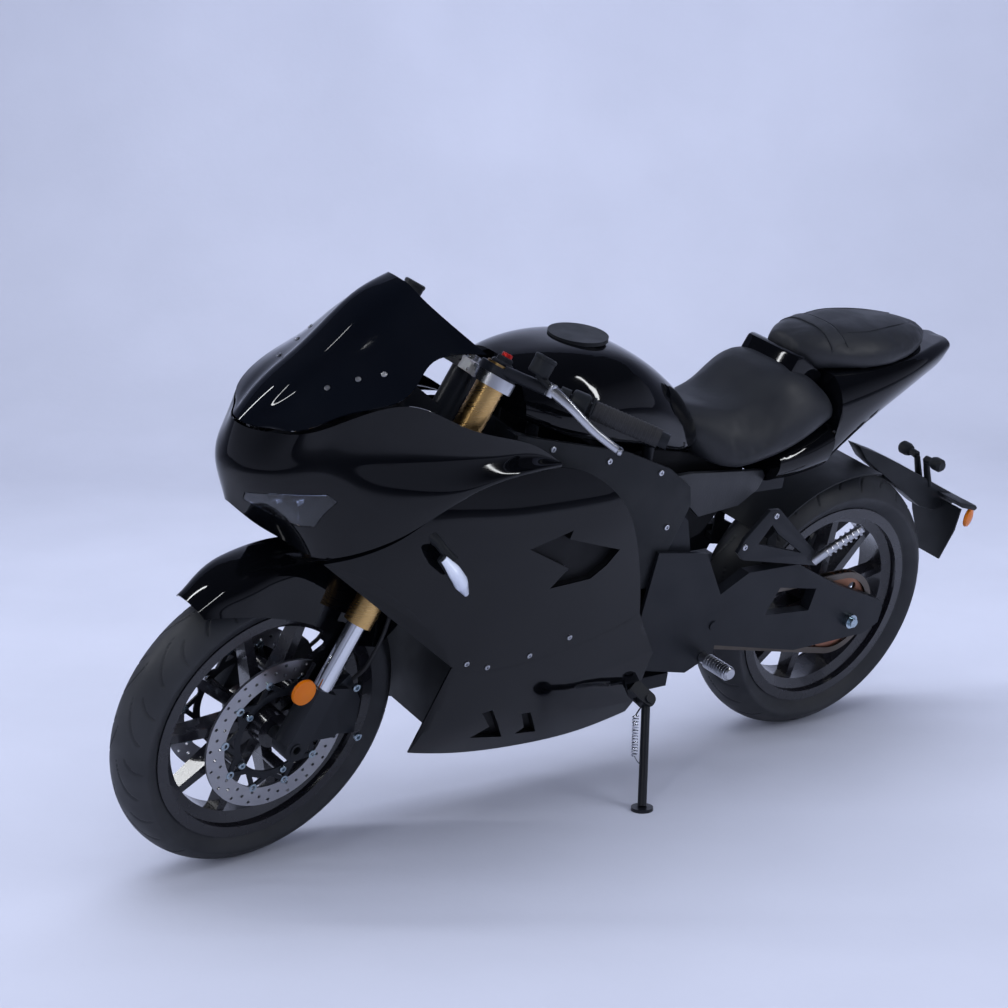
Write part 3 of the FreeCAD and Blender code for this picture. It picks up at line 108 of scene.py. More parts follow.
def add_camera():
    camera = bpy.data.cameras.new("camera")
    camera.sensor_width = SENSOR_MM
    camera.lens = FOCAL_PX / PHOTO_PX * SENSOR_MM
    camera.clip_end = 60
    eye = linked("camera", camera)
    eye.location = Vector(JOINTS["rear_wheel_spin"]["pos_m"]) + CAMERA_FROM_AXLE
    eye.rotation_euler = (radians(90 + CAMERA_PITCH), 0, radians(CAMERA_YAW - 90))
    bpy.context.scene.camera = eye


# Materials

PATCH = 9.0
COAT_ROUGH = 0.03
WORN_BY = {}


def new_material(name):
    material = bpy.data.materials.new(name)
    material.use_nodes = True
    tree = material.node_tree
    return material, tree, tree.nodes["Principled BSDF"]


def add_node(tree, kind, **values):
    node = tree.nodes.new(kind)
    set_inputs(node, values)
    return node


def set_inputs(node, values):
    for key, value in values.items():
        node.inputs[key].default_value = value


def noise(tree, scale, detail=3.0, stretch=None):
    place = add_node(tree, "ShaderNodeTexCoord").outputs["Object"]
    if stretch:
        mapping = add_node(tree, "ShaderNodeMapping", Scale=stretch)
        tree.links.new(place, mapping.inputs["Vector"])
        place = mapping.outputs["Vector"]
    node = add_node(tree, "ShaderNodeTexNoise", Scale=scale, Detail=detail)
    tree.links.new(place, node.inputs["Vector"])
    return node.outputs["Fac"]


def ramp(tree, source, low, high, start=0.35, end=0.65):
    node = add_node(tree, "ShaderNodeValToRGB")
    for stop, position, value in zip(node.color_ramp.elements, (start, end), (low, high)):
        stop.position = position
        stop.color = (*value, 1) if isinstance(value, tuple) else (value, value, value, 1)
    tree.links.new(source, node.inputs["Fac"])
    return node.outputs["Color"]


def bump(tree, shader, height, strength, distance):
    node = add_node(tree, "ShaderNodeBump", Strength=strength, Distance=distance)
    tree.links.new(height, node.inputs["Height"])
    tree.links.new(node.outputs["Normal"], shader.inputs["Normal"])


def surface(name, colour, worn, rough, grain, depth, metallic=0.0, coat=0.0, spread=0.06,
            stretch=None, specular=0.5, nodes=""):
    """A finish whose colour drifts to a second one, with uneven gloss and a fine grain. The nodes argument
    names the CAD pieces that wear it."""
    material, tree, shader = new_material(name)
    WORN_BY[material] = nodes
    tree.links.new(ramp(tree, noise(tree, PATCH), colour, worn), shader.inputs["Base Color"])
    uneven = ramp(tree, noise(tree, PATCH * 2.3, 5.0, stretch), max(rough - spread, 0.0), rough + spread)
    tree.links.new(uneven, shader.inputs["Roughness"])
    set_inputs(shader, {"Metallic": metallic, "Specular IOR Level": specular, "Coat Weight": coat,
                        "Coat Roughness": COAT_ROUGH})
    bump(tree, shader, noise(tree, grain, 2.0, stretch), 0.35, depth)
    return material


def clear(name, colour, rough):
    material, tree, shader = new_material(name)
    dim = tuple(0.9 * c for c in colour)
    tree.links.new(ramp(tree, noise(tree, 6.0), colour, dim), shader.inputs["Base Color"])
    tree.links.new(ramp(tree, noise(tree, 30.0), rough, rough + 0.03), shader.inputs["Roughness"])
    set_inputs(shader, {"Transmission Weight": 1.0, "IOR": 1.5})
    return material


GLOSS = surface("gloss_black", (0.0011, 0.0013, 0.0020), (0.0015, 0.0017, 0.0025), 0.05, 900.0,
                4e-6, spread=0.02, specular=0.30, nodes="fuel_tank front_fender")
MATTE = surface("moulded_black", (0.006, 0.007, 0.009), (0.009, 0.010, 0.012), 0.48, 1800.0,
                6e-5, specular=0.25, nodes="inner_fairing instrument_panel rear_hugger filler_cap front_axle")
SATIN = surface("satin_black_metal", (0.006, 0.007, 0.010), (0.009, 0.010, 0.013), 0.38,
                1200.0, 3e-5, specular=0.25,
                nodes="main_frame motor_block swingarm rear_caliper front_calipers fork_feet handlebars "
                      "side_stand")
RIM_BLACK = surface("rim_black", (0.006, 0.006, 0.009), (0.009, 0.009, 0.012), 0.26, 1500.0,
                    2e-5, coat=0.4, nodes="front_rim rear_rim")
RUBBER = surface("tyre_rubber", (0.010, 0.011, 0.014), (0.016, 0.017, 0.020), 0.58, 700.0, 1e-4)
GOLD = surface("gold_anodised", (0.62, 0.40, 0.16), (0.52, 0.32, 0.12), 0.30, 400.0, 2e-5,
               metallic=1.0, stretch=(1, 1, 14), nodes="fork_outer_tubes")
CHROME = surface("hard_chrome", (0.75, 0.76, 0.80), (0.68, 0.70, 0.74), 0.09, 300.0, 1e-5,
                 metallic=1.0, nodes="fork_inner_tubes")
DISC_STEEL = surface("ground_steel", (0.50, 0.50, 0.52), (0.42, 0.42, 0.45), 0.34, 900.0, 3e-5,
                     metallic=1.0, nodes="rear_disc")
ALLOY = surface("silver_alloy", (0.60, 0.61, 0.64), (0.50, 0.51, 0.54), 0.30, 700.0, 2e-5,
                metallic=1.0, nodes="fork_clamps")
CHAIN_STEEL = surface("oiled_steel", (0.16, 0.14, 0.12), (0.10, 0.085, 0.07), 0.38, 600.0,
                      4e-5, metallic=1.0, nodes="chain")
COPPER = surface("copper_steel", (0.40, 0.20, 0.12), (0.30, 0.14, 0.09), 0.40, 600.0, 3e-5,
                 metallic=1.0, nodes="rear_sprocket")
ZINC = surface("zinc_plate", (0.46, 0.56, 0.62), (0.38, 0.46, 0.52), 0.28, 500.0, 2e-5, metallic=1.0,
               nodes="rear_axle")
VINYL = surface("seat_vinyl", (0.0070, 0.0078, 0.0105), (0.010, 0.011, 0.014), 0.50, 1500.0,
                0.00012)
GRIP = surface("grip_rubber", (0.010, 0.010, 0.012), (0.014, 0.014, 0.016), 0.62, 1400.0, 8e-5,
               nodes="grips brake_hoses")
SMOKE = surface("smoked_screen", (0.0016, 0.0022, 0.0040), (0.0022, 0.0028, 0.0046), 0.04,
                900.0, 2e-6, spread=0.02, specular=0.30)
RIBBED = surface("ribbed_trim", (0.012, 0.013, 0.016), (0.017, 0.018, 0.021), 0.42, 260.0,
                 9e-4, stretch=(2, 2, 0.3))
STRAP = surface("seat_strap_web", (0.009, 0.010, 0.013), (0.013, 0.014, 0.017), 0.55, 900.0,
                3e-4)
# Painted shade: a dull black that reflects little, put where only shade is seen: inside the ducts and
# louvres, on the tray under the seat and on the wall inside the cockpit.
SHADOW = surface("painted_shade_black", (0.0030, 0.0032, 0.0042), (0.0040, 0.0042, 0.0052), 0.55,
                 900.0, 6e-5, specular=0.2)
RED_METAL = surface("red_anodised", (0.45, 0.015, 0.012), (0.35, 0.012, 0.010), 0.28, 500.0, 2e-5,
                    metallic=0.7)
AMBER_SOLID = surface("amber_reflector", (0.62, 0.17, 0.004), (0.50, 0.12, 0.003), 0.22, 420.0, 6e-4,
                      specular=0.3)
LENS_WHITE = surface("indicator_white", (0.62, 0.66, 0.78), (0.50, 0.54, 0.66), 0.14, 300.0,
                     6e-4, coat=1.0)
LAMP_CLEAR = clear("lamp_clear", (0.42, 0.45, 0.52), 0.02)
RED = clear("red_lens", (0.60, 0.02, 0.02), 0.08)


def dress_nodes():
    for material, names in WORN_BY.items():
        for name in names.split():
            mesh = NODES[name].data
            mesh.materials.clear()
            mesh.materials.append(material)


# Making pieces

RING_LAP = 3
WIDE_STEP = 400.0


def add_piece(name, mesh, material, body, replaces=()):
    piece = linked(name, mesh)
    mesh.name = name
    mesh.materials.clear()
    mesh.materials.append(material)
    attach(piece, body)
    if replaces:
        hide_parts(*replaces)
    return piece


def parked_piece(name, mesh, material, replaces=(), body="chassis", place=PARKED):
    """A piece from one mesh or a list of them, given in the upright machine's millimetres."""
    mesh = whole(mesh)
    mesh.transform(place)
    return add_piece(name, mesh, material, body, replaces)


def add_pair(name, mesh, material, replaces=(), body="chassis", place=PARKED):
    """A piece drawn on the left, and its mirror image on the right."""
    mesh = whole(mesh)
    other = mirrored(mesh)
    parked_piece(name + "_left", mesh, material, replaces, body, place)
    parked_piece(name + "_right", other, material, replaces, body, place)


def fork_pair(name, mesh, material, replaces=()):
    add_pair(name, mesh, material, replaces, "steering", FORK)


def wheel_pair(name, mesh, material, replaces=()):
    add_pair(name, mesh, material, replaces, "front_wheel", FRONT_WHEEL)


def whole(mesh):
    return joined(mesh) if isinstance(mesh, list) else mesh


def mirrored(mesh):
    other = mesh.copy()
    other.transform(Matrix.Scale(-1, 4, LEFT))
    other.flip_normals()
    return other


def mesh_of(points, faces):
    mesh = bpy.data.meshes.new("part")
    mesh.from_pydata([tuple(p) for p in points], [], faces)
    mesh.shade_smooth()
    mesh.validate()
    return mesh


def polar(radius, angle):
    return radius * cos(angle), radius * sin(angle)


def columns(*parts):
    """Points from their coordinates, of which some may be a single number."""
    return np.stack(np.broadcast_arrays(*parts), axis=1).astype(float)


def legs(ring):
    """The straight parts of a closed outline."""
    return zip(ring, ring[1:] + ring[:1])


def lathe(profile, steps, depth):
    """Points and faces of a closed ring about Y, from a closed profile of (radius, y) points.
    depth(angle, index) sinks a point towards the axis."""
    points = []
    for step in range(steps):
        angle = tau * step / steps
        for index, (radius, y) in enumerate(profile):
            x, z = polar(radius - depth(angle, index), angle)
            points.append((x, y, z))
    count = len(profile)
    faces = []
    for step in range(steps):
        here = step * count
        there = (step + 1) % steps * count
        for index in range(count):
            after = (index + 1) % count
            faces.append((here + index, here + after, there + after, there + index))
    return points, faces


def sharpen(mesh, degrees=32):
    mesh.shade_smooth()
    mesh.set_sharp_from_angle(angle=radians(degrees))
    return mesh


def spline(knots, values, at):
    """The natural cubic through rows of values at the knots."""
    knots = np.asarray(knots, float)
    values = np.asarray(values, float)
    gaps = np.diff(knots)
    count = len(knots)
    system = np.eye(count)
    right = np.zeros_like(values)
    for index in range(1, count - 1):
        low, high = gaps[index - 1], gaps[index]
        system[index, index - 1:index + 2] = low, 2 * (low + high), high
        rise, fall = values[index + 1] - values[index], values[index] - values[index - 1]
        right[index] = 6 * (rise / high - fall / low)
    bends = np.linalg.solve(system, right.reshape(count, -1)).reshape(right.shape)
    span = np.clip(np.searchsorted(knots, at) - 1, 0, count - 2)
    gap = gaps[span]
    after = ((at - knots[span]) / gap)
    before = 1 - after
    shape = (-1,) + (1,) * (values.ndim - 1)
    a, b, g = before.reshape(shape), after.reshape(shape), gap.reshape(shape)
    return (a * values[span] + b * values[span + 1]
            + ((a ** 3 - a) * bends[span] + (b ** 3 - b) * bends[span + 1]) * g ** 2 / 6)


def travelled(steps):
    """The way gone by at the start and after each step."""
    return np.concatenate([[0], np.cumsum(steps)])


def smooth_run(points, count):
    """Points at even steps along a smooth curve through a few."""
    points = np.asarray(points, float)
    knots = travelled(np.linalg.norm(np.diff(points, axis=0), axis=1))
    return spline(knots, points, np.linspace(0, knots[-1], count))


def smooth_ring(points, count):
    """The same round a closed curve, which overlaps itself by a few points."""
    points = np.asarray(points, float)
    wide = np.concatenate([points[-RING_LAP:], points, points[:RING_LAP + 1]])
    knots = travelled(np.linalg.norm(np.diff(wide, axis=0), axis=1))
    start, end = knots[RING_LAP], knots[RING_LAP + len(points)]
    return spline(knots, wide, np.linspace(start, end, count, endpoint=False))


def fill_grid(lines, along):
    """A net of points from a few smooth lines, with even steps from line to line."""
    lines = np.stack(lines)
    knots = travelled(np.linalg.norm(np.diff(lines, axis=0), axis=2).mean(axis=1))
    return spline(knots, lines, np.linspace(0, knots[-1], along))


def full_row(half):
    """A row from edge to edge, from its left half."""
    return [(x, -y, z) for x, y, z in reversed(half[1:])] + list(half)


def grid_faces(rows, columns, closed=False, base=0, flip=False):
    faces = []
    for i in range(rows - 1):
        for j in range(columns if closed else columns - 1):
            after = (j + 1) % columns
            a, b = base + i * columns + j, base + i * columns + after
            c, d = base + (i + 1) * columns + after, base + (i + 1) * columns + j
            faces.append((d, c, b, a) if flip else (a, b, c, d))
    return faces


def tube_faces(rows, around):
    """A tube with its ends closed."""
    last = rows * around - 1
    ends = [tuple(range(around)), tuple(range(last, last - around, -1))]
    return grid_faces(rows, around, closed=True) + ends


def moulded(table, along, across, wall):
    """A thin moulded panel through rows of points given from the middle to the left edge."""
    grid = fill_grid([smooth_run(full_row(row), across) for row in table], along)
    normal = np.cross(np.gradient(grid, axis=0), np.gradient(grid, axis=1))
    normal /= np.linalg.norm(normal, axis=2, keepdims=True)
    inner = grid + normal * wall
    count = along * across
    faces = grid_faces(along, across, flip=True) + grid_faces(along, across, base=count)
    rim = ([(0, j) for j in range(across)] + [(i, across - 1) for i in range(1, along)]
           + [(along - 1, j) for j in range(across - 2, -1, -1)] + [(i, 0) for i in range(along - 2, 0, -1)])
    faces += [(a, b, b + count, a + count) for a, b in legs([i * across + j for i, j in rim])]
    return outward(mesh_of(np.concatenate([grid.reshape(-1, 3), inner.reshape(-1, 3)]), faces))


def outward(mesh):
    work = bmesh.new()
    work.from_mesh(mesh)
    bmesh.ops.recalc_face_normals(work, faces=work.faces)
    work.to_mesh(mesh)
    work.free()
    return mesh


def lofted(sections, along, around, trim):
    """A closed body through half sections given from the top middle to the bottom middle."""
    lines = []
    for x, half in sections:
        ring = [(x, y, z) for y, z in half] + [(x, -y, z) for y, z in reversed(half[1:-1])]
        lines.append(smooth_ring(ring, around))
    grid = trim(fill_grid(lines, along))
    return outward(mesh_of(grid.reshape(-1, 3), tube_faces(along, around)))


def is_inside(point, outline):
    x, z = point
    odd = False
    for (x0, z0), (x1, z1) in legs(outline):
        if (z0 > z) != (z1 > z) and x < (x1 - x0) * (z - z0) / (z1 - z0) + x0:
            odd = not odd
    return odd


def nearness(point, outline):
    """How far a point lies from an outline."""
    a = np.asarray(outline)
    b = np.roll(a, -1, axis=0)
    share = np.clip(((point - a) * (b - a)).sum(1) / np.maximum(((b - a) ** 2).sum(1), 1e-9), 0, 1)
    return np.linalg.norm(point - a - (b - a) * share[:, None], axis=1).min()


def grown(outline, reach):
    """An outline moved out, or in with a negative reach, its corners mitred."""
    sign = 1 if sum(a[0] * b[1] - b[0] * a[1] for a, b in legs(outline)) > 0 else -1
    result = []
    for before, here, after in zip(outline[-1:] + outline[:-1], outline, outline[1:] + outline[:1]):
        one = (Vector(here) - Vector(before)).normalized()
        two = (Vector(after) - Vector(here)).normalized()
        n1, n2 = Vector((one.y, -one.x)), Vector((two.y, -two.x))
        mitre = n1 + n2
        move = mitre * (sign * reach / max(mitre.dot(n1), 0.35))
        result.append((here[0] + move.x, here[1] + move.y))
    return result


def divided(outline, step):
    result = []
    for a, b in legs(outline):
        count = max(1, round((Vector(b) - Vector(a)).length / step))
        result += [tuple(p + (q - p) * k / count for p, q in zip(a, b)) for k in range(count)]
    return result


def sheet_net(outline, step, holes=()):
    """Flat points and triangles inside an outline and outside its holes. A net of WIDE_STEP has
    no points of its own inside."""
    rings = [divided(ring, step) for ring in (outline, *holes)]
    points, edges = [], []
    for ring in rings:
        base = len(points)
        points += ring
        edges += [(base + k, base + (k + 1) % len(ring)) for k in range(len(ring))]
    xs, zs = zip(*outline)
    fixed = np.asarray(points)
    x = min(xs) + step / 2
    while step < WIDE_STEP and x < max(xs):
        z = min(zs) + step / 2
        while z < max(zs):
            if is_inside((x, z), rings[0]) and np.abs(fixed - (x, z)).sum(1).min() > step * 0.55:
                points.append((x, z))
            z += step
        x += step
    out = delaunay_2d_cdt([Vector(p) for p in points], edges, [tuple(range(len(rings[0])))], 1, 0.0001, False)
    flat = [tuple(p) for p in out[0]]
    faces = []
    for face in out[2]:
        middle = tuple(sum(flat[k][axis] for k in face) / len(face) for axis in (0, 1))
        if not any(is_inside(middle, hole) for hole in holes):
            faces.append(tuple(face))
    return np.asarray(flat), faces


def shelled(outer, inner, faces):
    """A sheet and its back, closed along every free edge."""
    count = len(outer)
    edges = dict.fromkeys(edge for face in faces for edge in legs(face))
    back = [tuple(k + count for k in reversed(face)) for face in faces]
    rim = [(b, a, a + count, b + count) for a, b in edges if (b, a) not in edges]
    return outward(mesh_of(np.concatenate([outer, inner]), faces + back + rim))


def slab(outline, y0, y1, holes=(), bevel=0.0, step=WIDE_STEP):
    """A plate across Y from an outline of (x, z) points."""
    flat, faces = sheet_net(outline, step, holes)
    front = columns(flat[:, 0], y0, flat[:, 1])
    mesh = shelled(front, front + (0, y1 - y0, 0), faces)
    return sharpen(soften(mesh, bevel) if bevel else mesh)


def soften(mesh, width):
    work = bmesh.new()
    work.from_mesh(mesh)
    bmesh.ops.dissolve_limit(work, angle_limit=radians(1), verts=work.verts, edges=work.edges)
    edges = [edge for edge in work.edges
             if len(edge.link_faces) == 2 and edge.calc_face_angle() > radians(25)]
    bmesh.ops.bevel(work, geom=edges, offset=width, segments=2, profile=0.6, affect="EDGES",
                    clamp_overlap=True)
    work.to_mesh(mesh)
    work.free()
    return mesh


def ring_at(centre, side, other, wide, high, sides):
    angles = [tau * k / sides for k in range(sides)]
    return [centre + side * (wide * cos(a)) + other * (high * sin(a)) for a in angles]


def swept(path, radii, sides=16, squash=1.0, count=None):
    """A round bar along a smooth path; squash flattens it along its own second axis."""
    if count is None:
        count = max(8, len(path) * 6)
    run = smooth_run(path, count) if len(path) > 2 else np.linspace(path[0], path[-1], count)
    radius = np.interp(np.linspace(0, 1, count), np.linspace(0, 1, len(radii)), radii)
    tangents = np.gradient(run, axis=0)
    side = Vector(UP) if abs(tangents[0][2]) < 0.8 * np.linalg.norm(tangents[0]) else Vector((1, 0, 0))
    points = []
    for centre, tangent, r in zip(run, tangents, radius):
        t = Vector(tangent).normalized()
        side = (side - t * side.dot(t)).normalized()
        points += ring_at(Vector(centre), side, t.cross(side), r * squash, r, sides)
    return sharpen(outward(mesh_of(points, tube_faces(count, sides))), 50)


def joined(meshes):
    work = bmesh.new()
    for mesh in meshes:
        work.from_mesh(mesh)
        bpy.data.meshes.remove(mesh)
    result = bpy.data.meshes.new("parts")
    work.to_mesh(result)
    work.free()
    return sharpen(result)


def turned_about(centre, axis, profile, sides=32):
    """A turned piece: a profile of (radius, distance along the axis) points, closed on the axis."""
    axis = Vector(axis).normalized()
    side = axis.orthogonal().normalized()
    other = axis.cross(side)
    points = []
    for r, along in profile:
        points += ring_at(Vector(centre) + axis * along, side, other, r, r, sides)
    return sharpen(outward(mesh_of(points, tube_faces(len(profile), sides))))


def rib(centre, axis, low, high, foot, top, sides):
    """A low ring round a bar: its two radii, and half its width at the foot and on top."""
    return turned_about(centre, axis, [(low, -foot), (high, -top), (high, top), (low, foot)], sides)


def socket_bolt(centre, axis, r=5.0, h=3.0):
    return turned_about(centre, axis, [(r, 0), (r, h * 0.8), (r * 0.86, h), (r * 0.5, h),
                                               (r * 0.5, h * 0.3), (0.01, h * 0.3)], 20)


def ray_tree(mesh):
    """What rays are cast onto."""
    work = bmesh.new()
    work.from_mesh(mesh)
    tree = BVHTree.FromBMesh(work)
    work.free()
    return tree


# Tyres with their tread

TREAD_STEPS = 840
GROOVE_DEPTH = 3.6
GROOVE_W = 5.0
CROWN_STEPS = 34
TREAD_TABLE = {
    "front_tyre": dict(radius=FRONT_R, width=110.0, crown=62.0, rim=84.0, grooves=15, reach=(5.0, 60.0),
                       sweep=0.30),
    "rear_tyre": dict(radius=REAR_R, width=150.0, crown=86.0, rim=116.0, grooves=14, reach=(8.0, 76.0),
                      sweep=0.36),
}
RIM_SEAT_R = 216.08
RIM_LIP_R = 232.0
RIM_LIP = 4.08
TYRE_WALL = 9.0


def tyre_profile(radius, width, crown, rim):
    """The tyre's section as in the CAD, and each point's distance from the crown's middle."""
    half = width / 2
    spread = asin(half / crown)
    profile, across = [], []
    for index in range(-CROWN_STEPS, CROWN_STEPS + 1):
        angle = spread * index / CROWN_STEPS
        profile.append((radius - crown + crown * cos(angle), crown * sin(angle)))
        across.append(crown * angle)
    shoulder = profile[-1][0]
    bead = rim / 2 - RIM_LIP
    bulge = bead + (half - bead) * 0.62
    side = []
    for share in (0.2, 0.4, 0.6, 0.8, 1.0):
        bow = 4 * share * (1 - share) * (bulge - (half + bead) / 2)
        side.append((shoulder + (RIM_LIP_R - shoulder) * share, half + (bead - half) * share + bow))
    inner = half - TYRE_WALL
    inside = [(RIM_SEAT_R, bead), (RIM_SEAT_R, bead - TYRE_WALL), (shoulder, inner), (radius - TYRE_WALL, 0),
              (shoulder, -inner), (RIM_SEAT_R, TYRE_WALL - bead), (RIM_SEAT_R, -bead)]
    rest = side + inside + [(r, -y) for r, y in reversed(side)]
    return profile + rest, across + [None] * len(rest)


def tread_depth(table, across):
    """Curved grooves that leave the middle and sweep back to the shoulder, in turn on each side."""
    low, high = table["reach"]
    pitch = tau / table["grooves"]

    def depth(angle, index):
        s = across[index]
        if s is None:
            return 0.0
        share = (abs(s) - low) / (high - low)
        if share < 0 or share > 1:
            return 0.0
        bend = table["sweep"] * (share ** 0.55) + 0.05 * sin(share * pi)
        turns = (angle + bend) / pitch + (0.0 if s > 0 else 0.5)
        sink = 0.0
        for offset, start, end, width in ((0.0, 0.0, 0.78, 1.0), (0.5, 0.32, 1.0, 0.8)):
            if not start <= share <= end:
                continue
            part = (turns + offset) % 1.0
            gap = min(part, 1 - part) * pitch * table["radius"]
            taper = min(1.0, (share - start) / 0.06 + 0.25, (end - share) / 0.10 + 0.1)
            half = GROOVE_W * width * taper / 2
            edge = min(max((half - gap) / 1.2 + 0.5, 0.0), 1.0)
            sink = max(sink, edge * GROOVE_DEPTH * min(1.0, taper + 0.3))
        return sink

    return depth


def add_tyre(name, body):
    table = TREAD_TABLE[name]
    profile, across = tyre_profile(table["radius"], table["width"], table["crown"], table["rim"])
    points, faces = lathe(profile, TREAD_STEPS, tread_depth(table, across))
    mesh = mesh_of(points, faces)
    parked_piece(name + "_treaded", mesh, RUBBER, [name], body, AXLE_BODY[body])


# Bodywork

LENS_OUTLINE = [(42, 752), (50, 768), (110, 785), (158, 797), (168, 784), (142, 730), (118, 724), (75, 740)]
NOSE_ROWS = [
    [(1486, 0, 876), (1477, 34, 876), (1458, 62, 878), (1428, 108, 889), (1362, 141, 918.4),
     (1262, 173, 947.8), (1150, 190, 904), (1060, 190, 875), (990, 182, 850), (918, 172, 805)],
    [(1496, 0, 830), (1486, 45, 832), (1462, 86, 836), (1415, 130, 848), (1345, 160, 862),
     (1250, 180, 868), (1160, 192, 852), (1070, 194, 838), (995, 188, 828), (925, 178, 806)],
    [(1499, 0, 785), (1489, 50, 783), (1458, 98, 784), (1405, 146, 788), (1340, 182, 792),
     (1255, 203, 797), (1165, 212, 803), (1080, 213, 814), (1000, 207, 818), (930, 192, 811)],
    [(1490, 0, 733), (1458, 42, 706), (1416, 82, 682), (1386, 130, 669), (1350, 172, 684),
     (1262, 208, 726), (1168, 215, 776), (1084, 214, 804), (1004, 208, 811), (934, 194, 807)],
]
SCREEN_ROWS = [
    [(1487, 0, 882), (1484, 18, 882), (1479, 30, 882), (1474, 38, 882), (1465, 50, 883), (1456, 62, 885)],
    [(1444, 0, 931), (1443, 20, 930), (1440, 33, 927), (1437, 43, 920), (1433, 78, 908), (1429, 110, 897)],
    [(1384, 0, 982), (1383, 20, 981), (1380, 33, 978), (1376, 45, 970), (1370, 96, 950), (1363, 143, 932)],
    [(1324, 0, 1035), (1323, 20, 1034), (1320, 33, 1031), (1314, 46, 1022), (1292, 110, 992),
     (1267, 172, 964)],
    [(1266, 0, 1086), (1265, 20, 1085), (1261, 33, 1082), (1254, 47, 1073), (1232, 102, 1045),
     (1206, 150, 1014)],
    [(1202, 0, 1117), (1201, 20, 1116), (1197, 33, 1113), (1190, 47, 1104), (1165, 100, 1074),
     (1098, 152, 1018)],
]
SIDE_LEVELS = [880, 800, 730, 640, 540, 440, 340, 240, 150]
SIDE_ROWS = [
    (1420, [80, 120, 130, 130, 125, 120, 110, 90, 60]),
    (1320, [125, 163, 188, 193, 188, 180, 165, 140, 100]),
    (1200, [150, 190, 215, 220, 212, 200, 182, 152, 108]),
    (1060, [150, 192, 220, 227, 219, 203, 180, 146, 98]),
    (900, [148, 186, 215, 224, 215, 198, 174, 140, 92]),
    (760, [140, 176, 205, 213, 206, 192, 168, 136, 90]),
    (600, [130, 155, 176, 190, 188, 178, 158, 128, 84]),
]
SIDE_SEAM = [(1116, 438), (1076, 423), (999, 412), (887, 417), (780, 435), (671, 467)]
SIDE_REAR = [(671, 467), (700, 559), (732, 641), (777, 720), (823, 763), (870, 788), (926, 801)]
SIDE_TOP = [(926, 801), (1004, 806), (1084, 799), (1168, 770), (1262, 719), (1350, 677)]
SIDE_TIP = [(1350, 677), (1384, 664)]
SIDE_FRONT = [(1384, 664), (1321, 645), (1285, 622), (1208, 556), (1155, 496), (1116, 438)]
SIDE_DUCT = [(997, 667), (900, 689), (907, 673), (773, 628), (800, 600), (835, 578), (932, 576), (897, 612)]
BELLY_REAR = [(671, 466), (640, 420), (589, 349), (706, 335), (812, 319), (778, 262), (720, 232), (640, 222),
              (575, 214), (578, 182)]
BELLY_BOTTOM = [(578, 182), (667, 160), (794, 156), (993, 186), (1148, 238)]
BELLY_FRONT = [(1148, 238), (1124, 326), (1114, 395), (1116, 437)]
LOUVRES = [[(1001, 300), (978, 303), (912, 208), (1001, 233), (965, 254)],
           [(894, 269), (871, 267), (822, 196), (879, 207), (865, 222)]]
TRIM_OUTLINE = [(590, 704), (520, 706), (392, 679), (327, 690), (318.3, 676), (332, 648), (378, 618),
                (482, 607)]
COVER_OUTLINE = [(985, 828), (940, 800), (850, 775), (780, 735), (716, 610), (650, 480), (600, 480),
                 (560, 600), (530, 650), (540, 690), (600, 735), (717, 784), (860, 812), (985, 846)]
RIDER_SECTIONS = [
    (510, [(0, 815), (40, 812), (68, 795), (75, 770), (60, 745), (0, 744)]),
    (450, [(0, 812), (72, 808), (118, 780), (130, 740), (115, 714), (0, 712)]),
    (380, [(0, 828), (92, 822), (142, 785), (152, 747), (135, 722), (0, 720)]),
    (318, [(0, 880), (98, 866), (146, 806), (155, 766), (138, 738), (0, 736)]),
    (240, [(0, 886), (104, 870), (146, 818), (150, 790), (132, 768), (0, 766)]),
    (186, [(0, 850), (92, 846), (134, 822), (138, 806), (118, 792), (0, 790)]),
]
PILLION_SECTIONS = [
    (243, [(0, 940), (26, 936), (42, 922), (42, 905), (32, 890), (0, 889)]),
    (215, [(0, 950), (44, 944), (66, 922), (66, 900), (54, 882), (0, 880)]),
    (150, [(0, 957), (70, 948), (98, 920), (98, 900), (84, 878), (0, 876)]),
    (70, [(0, 960), (84, 950), (116, 920), (116, 898), (100, 878), (0, 876)]),
    (-20, [(0, 957), (76, 948), (106, 922), (106, 904), (90, 884), (0, 882)]),
    (-100, [(0, 949), (50, 942), (72, 926), (72, 912), (60, 892), (0, 890)]),
    (-148, [(0, 938), (22, 934), (36, 925), (36, 915), (28, 898), (0, 896)]),
]
TAIL_FRONT_SECTIONS = [
    (318, [(0, 738), (110, 737), (138, 722), (138, 696), (118, 672), (0, 670)]),
    (250, [(0, 754), (114, 752), (142, 736), (142, 706), (122, 678), (0, 676)]),
    (184, [(0, 784), (115, 782), (145, 764), (145, 725), (125, 692), (0, 690)]),
]
TAIL_SADDLE = [(184, 760), (284, 742), (286, 868), (262, 916), (248, 918), (240, 874), (184, 874)]
TAIL_SECTIONS = [
    (186, [(0, 888), (98, 884), (140, 846), (148, 770), (125, 692), (0, 690)]),
    (80, [(0, 893), (98, 890), (132, 854), (132, 795), (110, 754), (0, 752)]),
    (-60, [(0, 899), (82, 896), (107, 872), (102, 838), (85, 814), (0, 812)]),
    (-150, [(0, 904), (58, 901), (76, 886), (72, 856), (56, 836), (0, 834)]),
    (-200, [(0, 903), (40, 902), (54, 892), (52, 866), (40, 850), (0, 848)]),
    (-226, [(0, 902), (30, 901), (42, 893), (40, 876), (30, 863), (0, 861)]),
]
DECK_LINE = [(560, 745), (455, 711), (400, 706), (300, 732), (184, 784), (184, 881), (80, 885), (-60, 893),
             (-160, 901), (-300, 907)]
SEAT_REST = 0.6
TRAY_OUTLINE = [(700, 560), (700, 745), (600, 748), (470, 700), (400, 690), (335, 700), (335, 640),
                (420, 540), (560, 500)]
